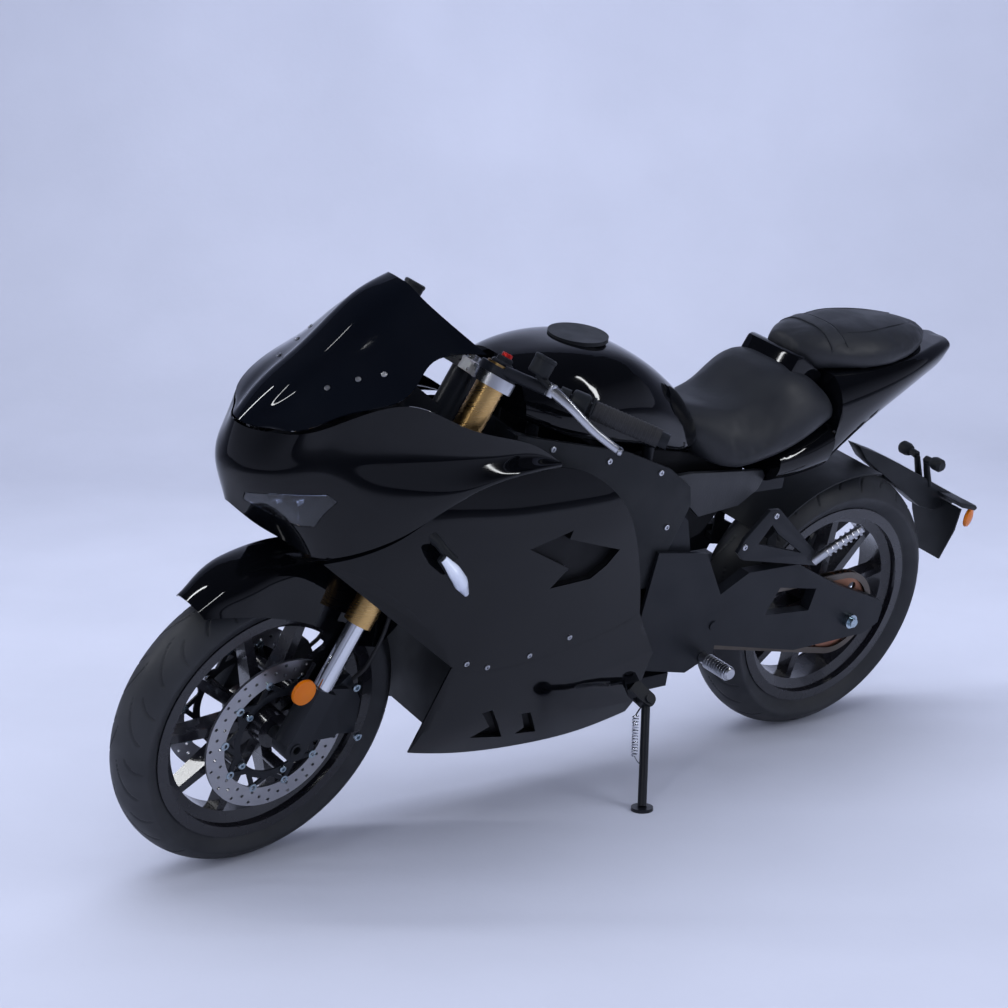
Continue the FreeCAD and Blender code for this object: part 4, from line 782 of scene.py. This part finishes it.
PLATE_SPINE = [(-38, 667), (-110, 640), (-185, 607), (-272, 562), (-340, 522), (-395, 506), (-395, 484),
               (-330, 476), (-280, 492), (-224, 545), (-150, 592), (-73, 628)]
PLATE_WING = [(-330, 524), (-390, 509), (-398, 501), (-391, 495), (-345, 508)]
PLATE_ARM = [(-60, 290), (-20, 330), (-240, 470), (-345, 524), (-395, 506), (-395, 496), (-345, 500),
             (-270, 430)]
PLATE_BRIDGE = [(-352, 520), (-392, 508), (-390, 498), (-348, 506)]
PLATE_FLAP = [(-78, 500), (78, 500), (66, 440), (32, 352), (-32, 352), (-66, 440)]
HANGER_OUTLINE = [(388, 528), (374, 556), (318, 614), (290, 612), (258, 566), (150, 489), (148, 464),
                  (210, 484), (370, 510)]
HANGER_WINDOW = [(334, 541), (305, 580), (281, 555), (205, 503)]
HANGER_Y = 130.0
PEG_LINE = [(160, 138, 477), (135, 165, 520), (100, 197, 570)]
RIDER_PEG_AXIS = (0, 1, 0.05)
COVER_Y = 118.3
COVER_SCREWS = [(640, 500), (585, 610), (625, 730), (760, 770), (900, 810)]
TRIM_Y = 93.3

FLANK_SCREWS = [(846, 449), (935, 426), (1032, 421), (1084, 440)]
SCREEN_SCREWS = [(1322, 975), (1285, 988), (1368, 956)]
SCREW_SUNK = 0.4

PANEL_WALL = 3.5
SCREEN_WALL = 3.0
DUCT_DEPTH = 16.0
DUCT_WALL = 3.0
SEAM_GAP = 2.0
LENS_STEP = 7.0
LENS_FIT = 1.0
BOWL_RIM = 3.0
BULBS = [(112, 770, 11.0), (82, 762, 9.0), (104, 738, 9.0)]
LAMP_STRIP = [(62, 771), (110, 783), (152, 792)]
DISC_INNER_R = 112
CARRIER_R = 85
HOLE_R = 3.3
BAR_ROOT = Vector((52, 142, 770))
BAR_END = Vector((-128, 356, 800))
LEVER_TIP = Vector((-98, 314, 746))
COILS = 14
COIL_R = 5.5
NET = 11.0
FLANK_STATIONS = [x for x, _ in reversed(SIDE_ROWS)]
FLANK_LEVELS = list(reversed(SIDE_LEVELS))
FLANK_TABLE = np.array([list(reversed(row)) for _, row in reversed(SIDE_ROWS)], float)


def flank(flat):
    """How far out the left flank lies over points (x, z)."""
    across = spline(FLANK_STATIONS, np.eye(len(FLANK_STATIONS)), flat[:, 0])
    up = spline(FLANK_LEVELS, np.eye(len(FLANK_LEVELS)), flat[:, 1])
    return np.einsum("nr,rl,nl->n", across, FLANK_TABLE, up)


def run_points(runs, step=12.0):
    """One outline from runs that follow each other, straight through two points and smooth through more."""
    outline = []
    for run in runs:
        points = np.asarray(run, float)
        if len(run) > 2:
            length = sum((Vector(b) - Vector(a)).length for a, b in zip(run, run[1:]))
            points = smooth_run(run, max(2, round(length / step) + 1))
        outline += [tuple(p) for p in points[:-1]]
    return outline


def flank_panel(outline, holes=(), sunk=0.0):
    flat, faces = sheet_net(outline, NET, holes)
    outer = columns(flat[:, 0], flank(flat) - sunk, flat[:, 1])
    return sharpen(shelled(outer, outer - (0, PANEL_WALL, 0), faces), 24)


def add_flanks():
    outline = run_points([SIDE_SEAM, SIDE_REAR, SIDE_TOP, SIDE_TIP, SIDE_FRONT])
    panel = flank_panel(outline, [SIDE_DUCT])
    for side, mesh in (("left", panel), ("right", mirrored(panel))):
        parked_piece("flank_" + side, mesh, GLOSS, ["side_fairing_" + side])
    seam = [(x, z - SEAM_GAP) for x, z in SIDE_SEAM]
    edges = [list(run) for run in zip(BELLY_REAR, BELLY_REAR[1:])]
    outline = run_points([seam] + edges + [BELLY_BOTTOM, BELLY_FRONT])
    add_pair("belly", flank_panel(outline, LOUVRES), GLOSS, ["belly_fairing"])
    # The walls and floors of the duct and louvres are real recesses; their dull black is painted shade in
    # place of the body's gloss.
    liners = []
    for opening in (SIDE_DUCT, *LOUVRES):
        liners.append(flank_panel(grown(opening, DUCT_WALL), sunk=DUCT_DEPTH))
        flat = np.asarray(divided(opening, NET))
        lip = columns(flat[:, 0], flank(flat) - 1.0, flat[:, 1])
        walls = grid_faces(2, len(flat), closed=True)
        liners.append(mesh_of(np.concatenate([lip, lip - (0, DUCT_DEPTH, 0)]), walls))
    add_pair("duct_liner", liners, SHADOW)


def cut_away(mesh, tool):
    """Takes one closed mesh out of another."""
    piece, blade = linked("cut_body", mesh), linked("cut_blade", tool)
    cut = piece.modifiers.new("cut", "BOOLEAN")
    cut.solver = "EXACT"
    cut.object = blade
    graph = bpy.context.evaluated_depsgraph_get()
    result = bpy.data.meshes.new_from_object(piece.evaluated_get(graph))
    for thing in (piece, blade):
        bpy.data.objects.remove(thing)
    return result


def lens_blade(side):
    flat, faces = sheet_net([(y * side, z) for y, z in LENS_OUTLINE], WIDE_STEP)
    back = columns(1300.0, flat[:, 0], flat[:, 1])
    return shelled(back + (260, 0, 0), back, faces)


def add_nose():
    mesh = moulded(NOSE_ROWS, 70, 150, PANEL_WALL)
    tree = ray_tree(mesh)
    for side in (1, -1):
        mesh = cut_away(mesh, lens_blade(side))
    parked_piece("nose", sharpen(mesh, 40), GLOSS, ["nose_cowl"])

    def on_nose(flat):
        points = []
        for y, z in flat:
            hit = tree.ray_cast(Vector((1700, y, z)), Vector((-1, 0, 0)))[0]
            points.append(tuple(hit) if hit else (1380.0, y, z))
        return np.array(points)

    flat, faces = sheet_net(grown(LENS_OUTLINE, -LENS_FIT), LENS_STEP)
    outer = on_nose(flat)
    lens = sharpen(shelled(outer, outer - (3.0, 0, 0), faces), 40)
    add_pair("lens", lens, LAMP_CLEAR, ["headlamps"])
    flat, faces = sheet_net(grown(LENS_OUTLINE, BOWL_RIM), LENS_STEP)
    edge = np.array([nearness(p, LENS_OUTLINE) for p in flat])
    bowl = on_nose(flat) - columns(6.0 + 26.0 * np.clip(edge / 16.0, 0, 1), 0, 0)
    add_pair("lamp_bowl", sharpen(shelled(bowl, bowl - (2.0, 0, 0), faces), 30), GLOSS)
    optics = []
    for y, z, r in BULBS:
        foot = Vector(on_nose([(y, z)])[0]) - Vector((30, 0, 0))
        profile = [(r, 0), (r, 9), (r * 0.9, 10), (r * 0.8, 4), (r * 0.3, 1), (0.01, 1)]
        optics.append(turned_about(foot, (1, 0, 0), profile, 24))
    strip = [tuple(Vector(p) - Vector((12, 0, 0))) for p in on_nose(LAMP_STRIP)]
    optics.append(swept(strip, [1.6, 1.6, 1.2], 8))
    add_pair("lamp_optics", optics, CHROME)


def add_screen():
    screen = moulded(SCREEN_ROWS, 44, 90, SCREEN_WALL)
    tree = ray_tree(screen)
    parked_piece("screen", sharpen(screen, 40), SMOKE, ["windscreen"])
    bolts = []
    for x, z in SCREEN_SCREWS:
        hit, normal, _, _ = tree.ray_cast(Vector((x, 400, z)), Vector((0, -1, 0)))
        if hit:
            bolts.append(socket_bolt(hit - normal * SCREW_SUNK, normal, 5.0, 2.6))
    add_pair("screen_screws", bolts, ALLOY)


def deck(x):
    """The height of the line on which the seats rest."""
    xs, zs = zip(*reversed(DECK_LINE))
    return np.interp(x, xs, zs)


def under_deck(grid):
    grid[..., 2] = np.minimum(grid[..., 2], deck(grid[..., 0]))
    return grid


def over_deck(grid):
    grid[..., 2] = np.maximum(grid[..., 2], deck(grid[..., 0]) + SEAT_REST)
    return grid


SADDLE_HALF_W = 78.0


def add_tail():
    parts = {"tail_front": lofted(TAIL_FRONT_SECTIONS, 30, 96, under_deck),
             "tail_back": lofted(TAIL_SECTIONS, 90, 96, under_deck),
             "tail_saddle": slab(TAIL_SADDLE, -SADDLE_HALF_W, SADDLE_HALF_W, bevel=13.0)}
    for name, mesh in parts.items():
        parked_piece(name, sharpen(mesh, 38), GLOSS, ["tail_cowl"])
    lamp = slab([(-236, 868), (-224, 866), (-222, 898), (-232, 899)], -30, 30, bevel=3.0)
    parked_piece("tail_light", lamp, RED, ["tail_lamp"])


def add_covers():
    cover = slab(COVER_OUTLINE, COVER_Y, COVER_Y + 10, bevel=2.5)
    add_pair("cover", cover, MATTE, ["side_covers"])
    trim = slab(TRIM_OUTLINE, TRIM_Y, TRIM_Y + 12, bevel=2.0)
    add_pair("trim", trim, RIBBED, ["side_covers"])
    screws = [socket_bolt((x, COVER_Y + 10, z), LEFT, 6.0) for x, z in COVER_SCREWS]
    screws.append(socket_bolt((545, TRIM_Y + 12, 640), LEFT, 6.0))
    add_pair("cover_screws", screws, ALLOY)
    # The tray stands in for the inner fender behind the gaps round the side covers; its dull black is painted
    # shade that hides the floor there.
    parked_piece("under_tray", slab(TRAY_OUTLINE, -57, 57, bevel=4.0), SHADOW)


# Foot rests, plate holder and lamps behind

def add_rests():
    hanger = slab(HANGER_OUTLINE, HANGER_Y, HANGER_Y + 10, [HANGER_WINDOW], bevel=2.0)
    add_pair("rest_hanger", hanger, SATIN, ["foot_pegs"])
    screws = [socket_bolt((x, HANGER_Y + 10, z), LEFT, 6.5) for x, z in ((372, 540), (300, 600))]
    root, tip = PEG_LINE[0], PEG_LINE[-1]
    parts = [swept(PEG_LINE, [11, 9, 9], 14)]
    for k in range(7):
        centre = Vector(root).lerp(Vector(tip), 0.3 + 0.62 * k / 6)
        parts.append(rib(centre, Vector(tip) - Vector(root), 11.5, 12.5, 2, 1, 14))
    parts.append(turned_about((430, 140, 300), RIDER_PEG_AXIS,
                              [(12, 0), (12, 14), (14, 16), (14, 84), (11, 88)], 20))
    for k in range(9):
        parts.append(rib((430, 160 + 7.4 * k, 300 + 0.35 * k), RIDER_PEG_AXIS, 14, 16, 1.4, 0.8, 20))
    add_pair("pegs", parts + screws, ALLOY, ["foot_pegs"])


def add_plate_holder():
    parts = [slab(PLATE_SPINE, -20, 20, bevel=4.0),
             slab(PLATE_WING, -88, 88, bevel=3.0),
             slab(PLATE_ARM, -138, -128, bevel=3.0),
             slab(PLATE_BRIDGE, -132, -60, bevel=2.0)]
    flat, faces = sheet_net(PLATE_FLAP, WIDE_STEP)
    outer = columns(-352.0 - 22.0 * (500 - flat[:, 1]) / 148, flat[:, 0], flat[:, 1])
    parts.append(sharpen(soften(shelled(outer, outer - (5, 0, 0), faces), 1.5)))
    for side in (1, -1):
        foot, top = Vector((-300, 14 * side, 540)), Vector((-272, 14 * side, 606))
        parts.append(swept([foot, top], [10, 8], 12, squash=0.7))
        parts.append(swept([top, (-272, 36 * side, 608)], [9, 8], 14))
        parts.append(turned_about((-272, 34 * side, 608), (0, side, 0),
                                  [(8, -2), (12, 0), (15, 8), (15, 24), (10, 30)], 20))
    parked_piece("plate_carrier", parts, MATTE, ["plate_holder", "indicators"])
    glow = [turned_about((-396, 66 * side, 470), (-0.35, 0.94 * side, 0),
                         [(22, 0), (23, 2), (21, 7), (12, 10), (0.01, 11)]) for side in (1, -1)]
    parked_piece("plate_reflectors", glow, AMBER_SOLID)
    lamp = slab([(-395, 494), (-382, 498), (-384, 488), (-396, 484)], -18, 18, bevel=2.0)
    parked_piece("plate_lamp", lamp, LAMP_CLEAR)


FRONT_STALK = [(1206, 205, 716), (1200, 226, 708), (1192, 244, 694), (1186, 254, 684)]
FRONT_LENS = [(1206, 250, 692), (1193, 260, 676), (1174, 264, 650), (1158, 262, 626)]


def add_front_indicators():
    stalk = swept(FRONT_STALK, [13, 9, 9, 12], 18)
    back = swept([(x, y - 5, z) for x, y, z in FRONT_LENS], [14, 19, 20, 9], 20, squash=0.62)
    add_pair("indicator_stalk", [stalk, back], MATTE, ["indicators"])
    lens = swept([(x, y + 4, z) for x, y, z in FRONT_LENS], [10, 18, 20, 9], 20, squash=0.66)
    add_pair("indicator_lens", lens, LENS_WHITE)


# Front end

def circle(radius, count, x=0.0, z=0.0):
    turned = [polar(radius, tau * k / count) for k in range(count)]
    return [(x + a, z + b) for a, b in turned]


def add_front_discs():
    holes = [circle(DISC_INNER_R, 80)]
    for ring_r, phase in ((122, 0.0), (132, 9.0), (142, 0.0)):
        for k in range(20):
            holes.append(circle(HOLE_R, 10, *polar(ring_r, radians(18.0 * k + phase))))
    rotor = slab(circle(150, 120), 63.5, 68.5, holes, step=60.0)
    wheel_pair("rotor", rotor, DISC_STEEL, ["front_discs"])
    parts = [slab(circle(92, 60), 64, 68, [circle(78, 60)], bevel=0.8)]
    studs = []
    for k in range(10):
        middle = radians(2 + 36 * k)
        head = Vector(polar(DISC_INNER_R, middle))
        for lean in (-18, 18):
            foot = Vector(polar(CARRIER_R, middle + radians(lean)))
            side = (head - foot).normalized().orthogonal() * 4.5
            corners = [foot - side, head - side, head + side, foot + side]
            parts.append(slab([tuple(corner) for corner in corners], 64.2, 67.8))
        studs.append(turned_about((head.x, 62, head.y), LEFT,
                                  [(4, 0), (8, 0.4), (8, 7.6), (4, 8), (3.6, 5), (0.01, 5)], 20))
    wheel_pair("disc_carrier", parts, SATIN, ["front_discs"])
    for k in range(5):
        x, z = polar(CARRIER_R, radians(38 + 72 * k))
        studs.append(socket_bolt((x, 68, z), LEFT, 7.0, 5.0))
    wheel_pair("disc_buttons", studs, ZINC)


def add_front_details():
    reflector = turned_about((98, 119, 105), LEFT,
                             [(24, 0), (25, 2), (24, 7), (12, 9), (0.01, 9.5)], 40)
    fork_pair("fork_reflector", reflector, AMBER_SOLID, ["fork_reflectors"])
    fork_pair("reflector_arm", swept([(60, 118, 108), (98, 117, 105)], [6, 6], 12), SATIN)
    cap = [(24, 0), (24, 4), (20, 7), (17, 7), (17, 14), (14, 16)]
    fork_pair("fork_cap", turned_about((48, 108, 776), UP, cap, 6), SATIN)
    screw = [(10, 0), (10, 5), (9, 7), (4, 7), (4, 5), (0.01, 5)]
    fork_pair("fork_adjuster", turned_about((48, 108, 792), UP, screw, 24), RED_METAL)
    bolts = [socket_bolt((x, 96, z), LEFT, 8.0, 6.0) for x, z in ((-45, 134), (-115, 44))]
    fork_pair("caliper_bolts", bolts, ZINC)


def add_controls():
    """Switch housings, perches and levers on both bars, drawn on the left one in fork axes."""
    along = (BAR_END - BAR_ROOT).normalized()
    grip_start = BAR_END - along * 134
    root = grip_start - along * 48
    pivot = root + Vector((44, 0, 0)) + along * 4
    dark = [turned_about(grip_start - along * 36, along,
                         [(13, 0), (20, 2), (22, 6), (22, 30), (18, 35), (13, 36)], 28),
            turned_about(grip_start - along * 58, along, [(12, 0), (17, 1), (17, 19), (12, 20)], 24),
            swept([root + Vector((12, 0, 0)), pivot], [11, 9], 14),
            turned_about((42, 186, 792), UP,
                         [(17, 0), (20, 3), (20, 28), (21, 29), (21, 34), (18, 36)], 28),
            swept([root + Vector((30, 0, 0)), (42, 186, 794)], [7, 7], 12),
            turned_about(BAR_END - along * 131, along, [(15, 0), (22, 1), (22, 4), (17, 6)], 28)]
    fork_pair("switch_gear", dark, MATTE, ["hand_controls"])
    blade = [pivot, pivot.lerp(LEVER_TIP, 0.25) + Vector((12, 6, 2)),
             pivot.lerp(LEVER_TIP, 0.6) + Vector((10, 4, -2)), LEVER_TIP]
    knob = [LEVER_TIP - Vector((-2, 3, 0)), LEVER_TIP + Vector((-4, 6, 0))]
    stub = [(7, 0), (8, 2), (8, 22), (6, 24)]
    fork_pair("levers", [swept(blade, [8, 6.5, 6, 5.5], 16, squash=1.3),
                         swept(knob, [6, 8.5, 6], 16),
                         turned_about(pivot - Vector((0, 0, 12)), UP, stub, 18)],
              ALLOY, ["hand_controls"])
    ribs = [rib(BAR_END - along * (12 + 7.4 * k), along, 16.6, 17.9, 1.8, 1.2, 28) for k in range(15)]
    fork_pair("grip_ribs", ribs, GRIP)


def add_cockpit():
    dial = slab([(1172, 958), (1192, 948), (1232, 1018), (1208, 1032)], -78, 78, bevel=6.0)
    parked_piece("dial_body", dial, MATTE, ["instrument_panel"])
    # The cockpit wall stands in for the nose's inner liner; its dull black is painted shade that closes the
    # view through the nose.
    wall = slab([(1222, 868), (1236, 864), (1268, 962), (1256, 976)], -132, 132, bevel=4.0)
    parked_piece("cockpit_wall", wall, SHADOW)


def add_screws():
    """Screws set square to the flank."""
    screws = []
    for x, z in FLANK_SCREWS:
        y = flank(np.array([[x, z], [x + 4, z], [x, z + 4]]))
        normal = Vector((-(y[1] - y[0]) / 4, 1, -(y[2] - y[0]) / 4)).normalized()
        screws.append(socket_bolt(Vector((x, y[0], z)) - normal * SCREW_SUNK, normal, 5.5, 2.6))
    add_pair("panel_screws", screws, ALLOY)


def add_stand_spring():
    pivot, pad = Vector((574, 150, 234)), Vector((648, 273, 65))
    beside = Vector((26, 0, 0))
    top, foot = pivot.lerp(pad, 0.06) + beside, pivot.lerp(pad, 0.55) + beside
    axis = (foot - top).normalized()
    side = axis.orthogonal().normalized()
    other = axis.cross(side)
    path = []
    for k in range(COILS * 10 + 1):
        angle = tau * k / 10
        middle = top.lerp(foot, 0.12 + 0.76 * k / (COILS * 10))
        path.append(middle + side * (COIL_R * cos(angle)) + other * (COIL_R * sin(angle)))
    parts = [swept([tuple(p) for p in path], [1.5, 1.5], 6, count=COILS * 14)]
    for end, target in ((path[0], pivot.lerp(pad, 0.02)), (path[-1], pivot.lerp(pad, 0.62))):
        parts.append(swept([end, end.lerp(target, 0.55) + beside * 0.12, target], [1.6, 1.6], 8))
    parked_piece("stand_spring", parts, CHROME, (), "side_stand")


# Seats: cloth swollen over the padding's shape, held down where it rests

SEAT_PRESSURE = 4.0
SEAT_SHRINK = Matrix.Diagonal((0.985, 0.975, 0.975, 1))
CUSHION_SEAM = [(120, 62), (70, 70), (20, 64), (-40, 50), (-95, 30)]


def apply_modifier(piece, kind, **values):
    modifier = piece.modifiers.new(kind.lower(), kind)
    for key, value in values.items():
        setattr(modifier, key, value)
    bpy.ops.object.modifier_apply(modifier=modifier.name)


def swell(piece, cap):
    """Blows a seat's cover up as cloth, held where it faces down, and moves no point by more than the cap."""
    mesh = piece.data
    before = [v.co.copy() for v in mesh.vertices]
    group = piece.vertex_groups.new(name="held")
    up = (PARKED.to_3x3() @ Vector(UP)).normalized()
    for vertex in mesh.vertices:
        if vertex.normal.dot(up) < -0.35:
            group.add([vertex.index], 1.0, "REPLACE")
    cloth = piece.modifiers.new("cloth", "CLOTH")
    cloth.settings.use_pressure = True
    cloth.settings.uniform_pressure_force = SEAT_PRESSURE
    cloth.settings.effector_weights.gravity = 0
    cloth.settings.vertex_group_mass = "held"
    cloth.settings.quality = 5
    scene = bpy.context.scene
    for step in range(1, 17):
        scene.frame_set(step)
    graph = bpy.context.evaluated_depsgraph_get()
    swollen = piece.evaluated_get(graph).to_mesh()
    after = [v.co.copy() for v in swollen.vertices]
    piece.evaluated_get(graph).to_mesh_clear()
    piece.modifiers.remove(cloth)
    scene.frame_set(1)
    for vertex, old, new in zip(mesh.vertices, before, after):
        move = new - old
        if move.length > cap:
            move = move.normalized() * cap
        vertex.co = old + move


def padded_seat(name, sections, along, node, cap):
    mesh = lofted(sections, along, 72, over_deck)
    mesh.transform(PARKED)
    piece = add_piece(name, mesh, VINYL, "chassis", [node])
    bpy.context.view_layer.objects.active = piece
    for other in bpy.context.selected_objects:
        other.select_set(False)
    piece.select_set(True)
    corners = np.array([v.co for v in mesh.vertices])
    centre = Vector((corners.min(0) + corners.max(0)) / 2)
    mesh.transform(Matrix.Translation(centre) @ SEAT_SHRINK @ Matrix.Translation(-centre))
    apply_modifier(piece, "REMESH", mode="VOXEL", voxel_size=0.006)
    swell(piece, cap)
    apply_modifier(piece, "SMOOTH", factor=0.5, iterations=4)
    apply_modifier(piece, "SUBSURF", levels=1)
    piece.data.shade_smooth()
    piece.data.materials.clear()
    piece.data.materials.append(VINYL)
    return piece


def on_seat(tree, points, proud):
    """Points moved down onto a seat's top, a little proud of it."""
    down = (PARKED.to_3x3() @ Vector((0, 0, -1))).normalized()
    result = []
    for x, y in points:
        hit, normal, _, _ = tree.ray_cast(PARKED @ Vector((x, y, 1150)), down)
        if hit:
            result.append(hit + normal * (proud * MM))
    return result


def add_strap(piece):
    """The flat strap across the passenger's cushion, the seam along each edge, and the cushion's seams."""
    tree = ray_tree(piece.data)
    rows = []
    for x in (178.0, 174.0, 170.0, 145.0, 141.0, 137.0):
        proud = 1.8 if 138 < x < 177 else -1.0
        rows.append(on_seat(tree, [(x, y) for y in np.linspace(-88, 88, 45)], proud))
    count = min(len(row) for row in rows)
    mesh = mesh_of([p for row in rows for p in row[:count]], grid_faces(len(rows), count))
    add_piece("seat_strap", outward(mesh), STRAP, "chassis")
    seams = []
    for x in (176.0, 139.0):
        path = on_seat(tree, [(x, y) for y in np.linspace(-88, 88, 30)], 1.4)
        seams.append(swept([tuple(p / MM) for p in path], [0.7, 0.7], 6, count=90))
    for side in (1, -1):
        path = on_seat(tree, [(x, side * y) for x, y in CUSHION_SEAM], 0.6)
        if len(path) == len(CUSHION_SEAM):
            seams.append(swept([tuple(p / MM) for p in path], [0.9, 0.9], 6, count=60))
    mesh = joined(seams)
    mesh.transform(Matrix.Scale(MM, 4))
    add_piece("seat_seams", mesh, VINYL, "chassis")


# Floor, air and light

FLOOR_SIZE = 14.0
CURVE_R = 2.2
BACK_LINE = 3.4
CLOTH_DIM = (0.42, 0.435, 0.52)
CLOTH_PALE = (0.46, 0.475, 0.565)
ROOM_LOW = (0.34, 0.37, 0.50)
ROOM_HIGH = (0.035, 0.037, 0.050)
ROOM_TINT = (0.84, 0.89, 1.0)
STRIP_TINT = (0.95, 0.97, 1.0)
FILL_POWER = 70
AWAY = Vector((*polar(1.0, radians(CAMERA_YAW)), 0))
ACROSS = Vector((-AWAY.y, AWAY.x, 0))


def add_stage():
    """A cloth that runs over the floor and up behind the machine in one curve."""
    profile = [(-FLOOR_SIZE, 0.0), (0.0, 0.0), (BACK_LINE, 0.0)]
    for k in range(1, 13):
        angle = pi / 2 * k / 12
        profile.append((BACK_LINE + CURVE_R * sin(angle), CURVE_R * (1 - cos(angle))))
    profile.append((BACK_LINE + CURVE_R, 9.0))
    points = []
    for side in (-FLOOR_SIZE, FLOOR_SIZE):
        points += [AWAY * u + ACROSS * side + Vector((0, 0, z)) for u, z in profile]
    mesh = mesh_of(points, grid_faces(2, len(profile)))
    material, tree, shader = new_material("floor_cloth")
    colour = ramp(tree, noise(tree, 1.3, 6.0), CLOTH_DIM, CLOTH_PALE, 0.3, 0.7)
    tree.links.new(colour, shader.inputs["Base Color"])
    set_inputs(shader, {"Roughness": 0.8, "Specular IOR Level": 0.2})
    bump(tree, shader, noise(tree, 3.0, 5.0), 0.3, 0.02)
    mesh.materials.append(material)
    linked("studio_cloth", mesh)


def add_world():
    world = bpy.data.worlds.new("studio")
    bpy.context.scene.world = world
    world.use_nodes = True
    tree = world.node_tree
    background = tree.nodes["Background"]
    parts = add_node(tree, "ShaderNodeSeparateXYZ")
    tree.links.new(add_node(tree, "ShaderNodeTexCoord").outputs["Generated"], parts.inputs[0])
    height = ramp(tree, parts.outputs["Z"], ROOM_LOW, ROOM_HIGH, 0.05, 0.45)
    tree.links.new(height, background.inputs["Color"])
    background.inputs["Strength"].default_value = 1.0


def add_area(name, place, target, size, power, colour):
    light = bpy.data.lights.new(name, "AREA")
    light.shape = "RECTANGLE"
    light.size, light.size_y = size
    light.energy = power
    light.color = colour
    lamp = linked(name, light)
    lamp.location = place
    lamp.rotation_euler = (Vector(target) - Vector(place)).to_track_quat("-Z", "Y").to_euler()
    return lamp


def add_lights():
    up = Vector(UP)
    soft = [("top_soft", up * 5.2, (0, 0, 0), (6.5, 6.5), 330),
            ("backdrop_wash", AWAY * 0.6 + up * 4.6, AWAY * 5.4 + up * 2.2, (7.0, 0.8), 230)]
    for name, place in (("left_fill", ACROSS * 4.2 - AWAY * 1.5), ("right_fill", -ACROSS * 4.2 - AWAY * 1.5),
                        ("camera_fill", -AWAY * 5.0)):
        soft.append((name, place + up * 1.9, (0, 0, 0.3), (3.6, 2.4), FILL_POWER))
    for values in soft:
        add_area(*values, ROOM_TINT).visible_glossy = False
    for name, place, target, size, power in (
            ("left_strip", ACROSS * 3.4 + up * 2.6, (0.2, 0, 0.6), (0.12, 2.4), 26),
            ("right_strip", -ACROSS * 3.2 - AWAY * 1.2 + up * 2.8, (0, 0, 0.6), (0.12, 2.4), 26),
            ("front_strip", -AWAY * 3.0 + ACROSS * 1.6 + up * 3.0, (0, 0, 0.6), (0.10, 1.8), 18)):
        add_area(name, place, target, size, power, STRIP_TINT)


bpy.context.scene.view_settings.view_transform = "Standard"
add_camera()
add_stage()
add_world()
add_lights()
dress_nodes()
add_tyre("front_tyre", "front_wheel")
add_tyre("rear_tyre", "rear_wheel")
add_flanks()
add_nose()
add_screen()
add_tail()
add_covers()
add_rests()
add_plate_holder()
add_front_indicators()
add_front_discs()
add_front_details()
add_controls()
add_cockpit()
add_screws()
add_stand_spring()
padded_seat("rider_cushion", RIDER_SECTIONS, 60, "rider_seat", 0.007)
add_strap(padded_seat("pillion_cushion", PILLION_SECTIONS, 70, "pillion_seat", 0.006))
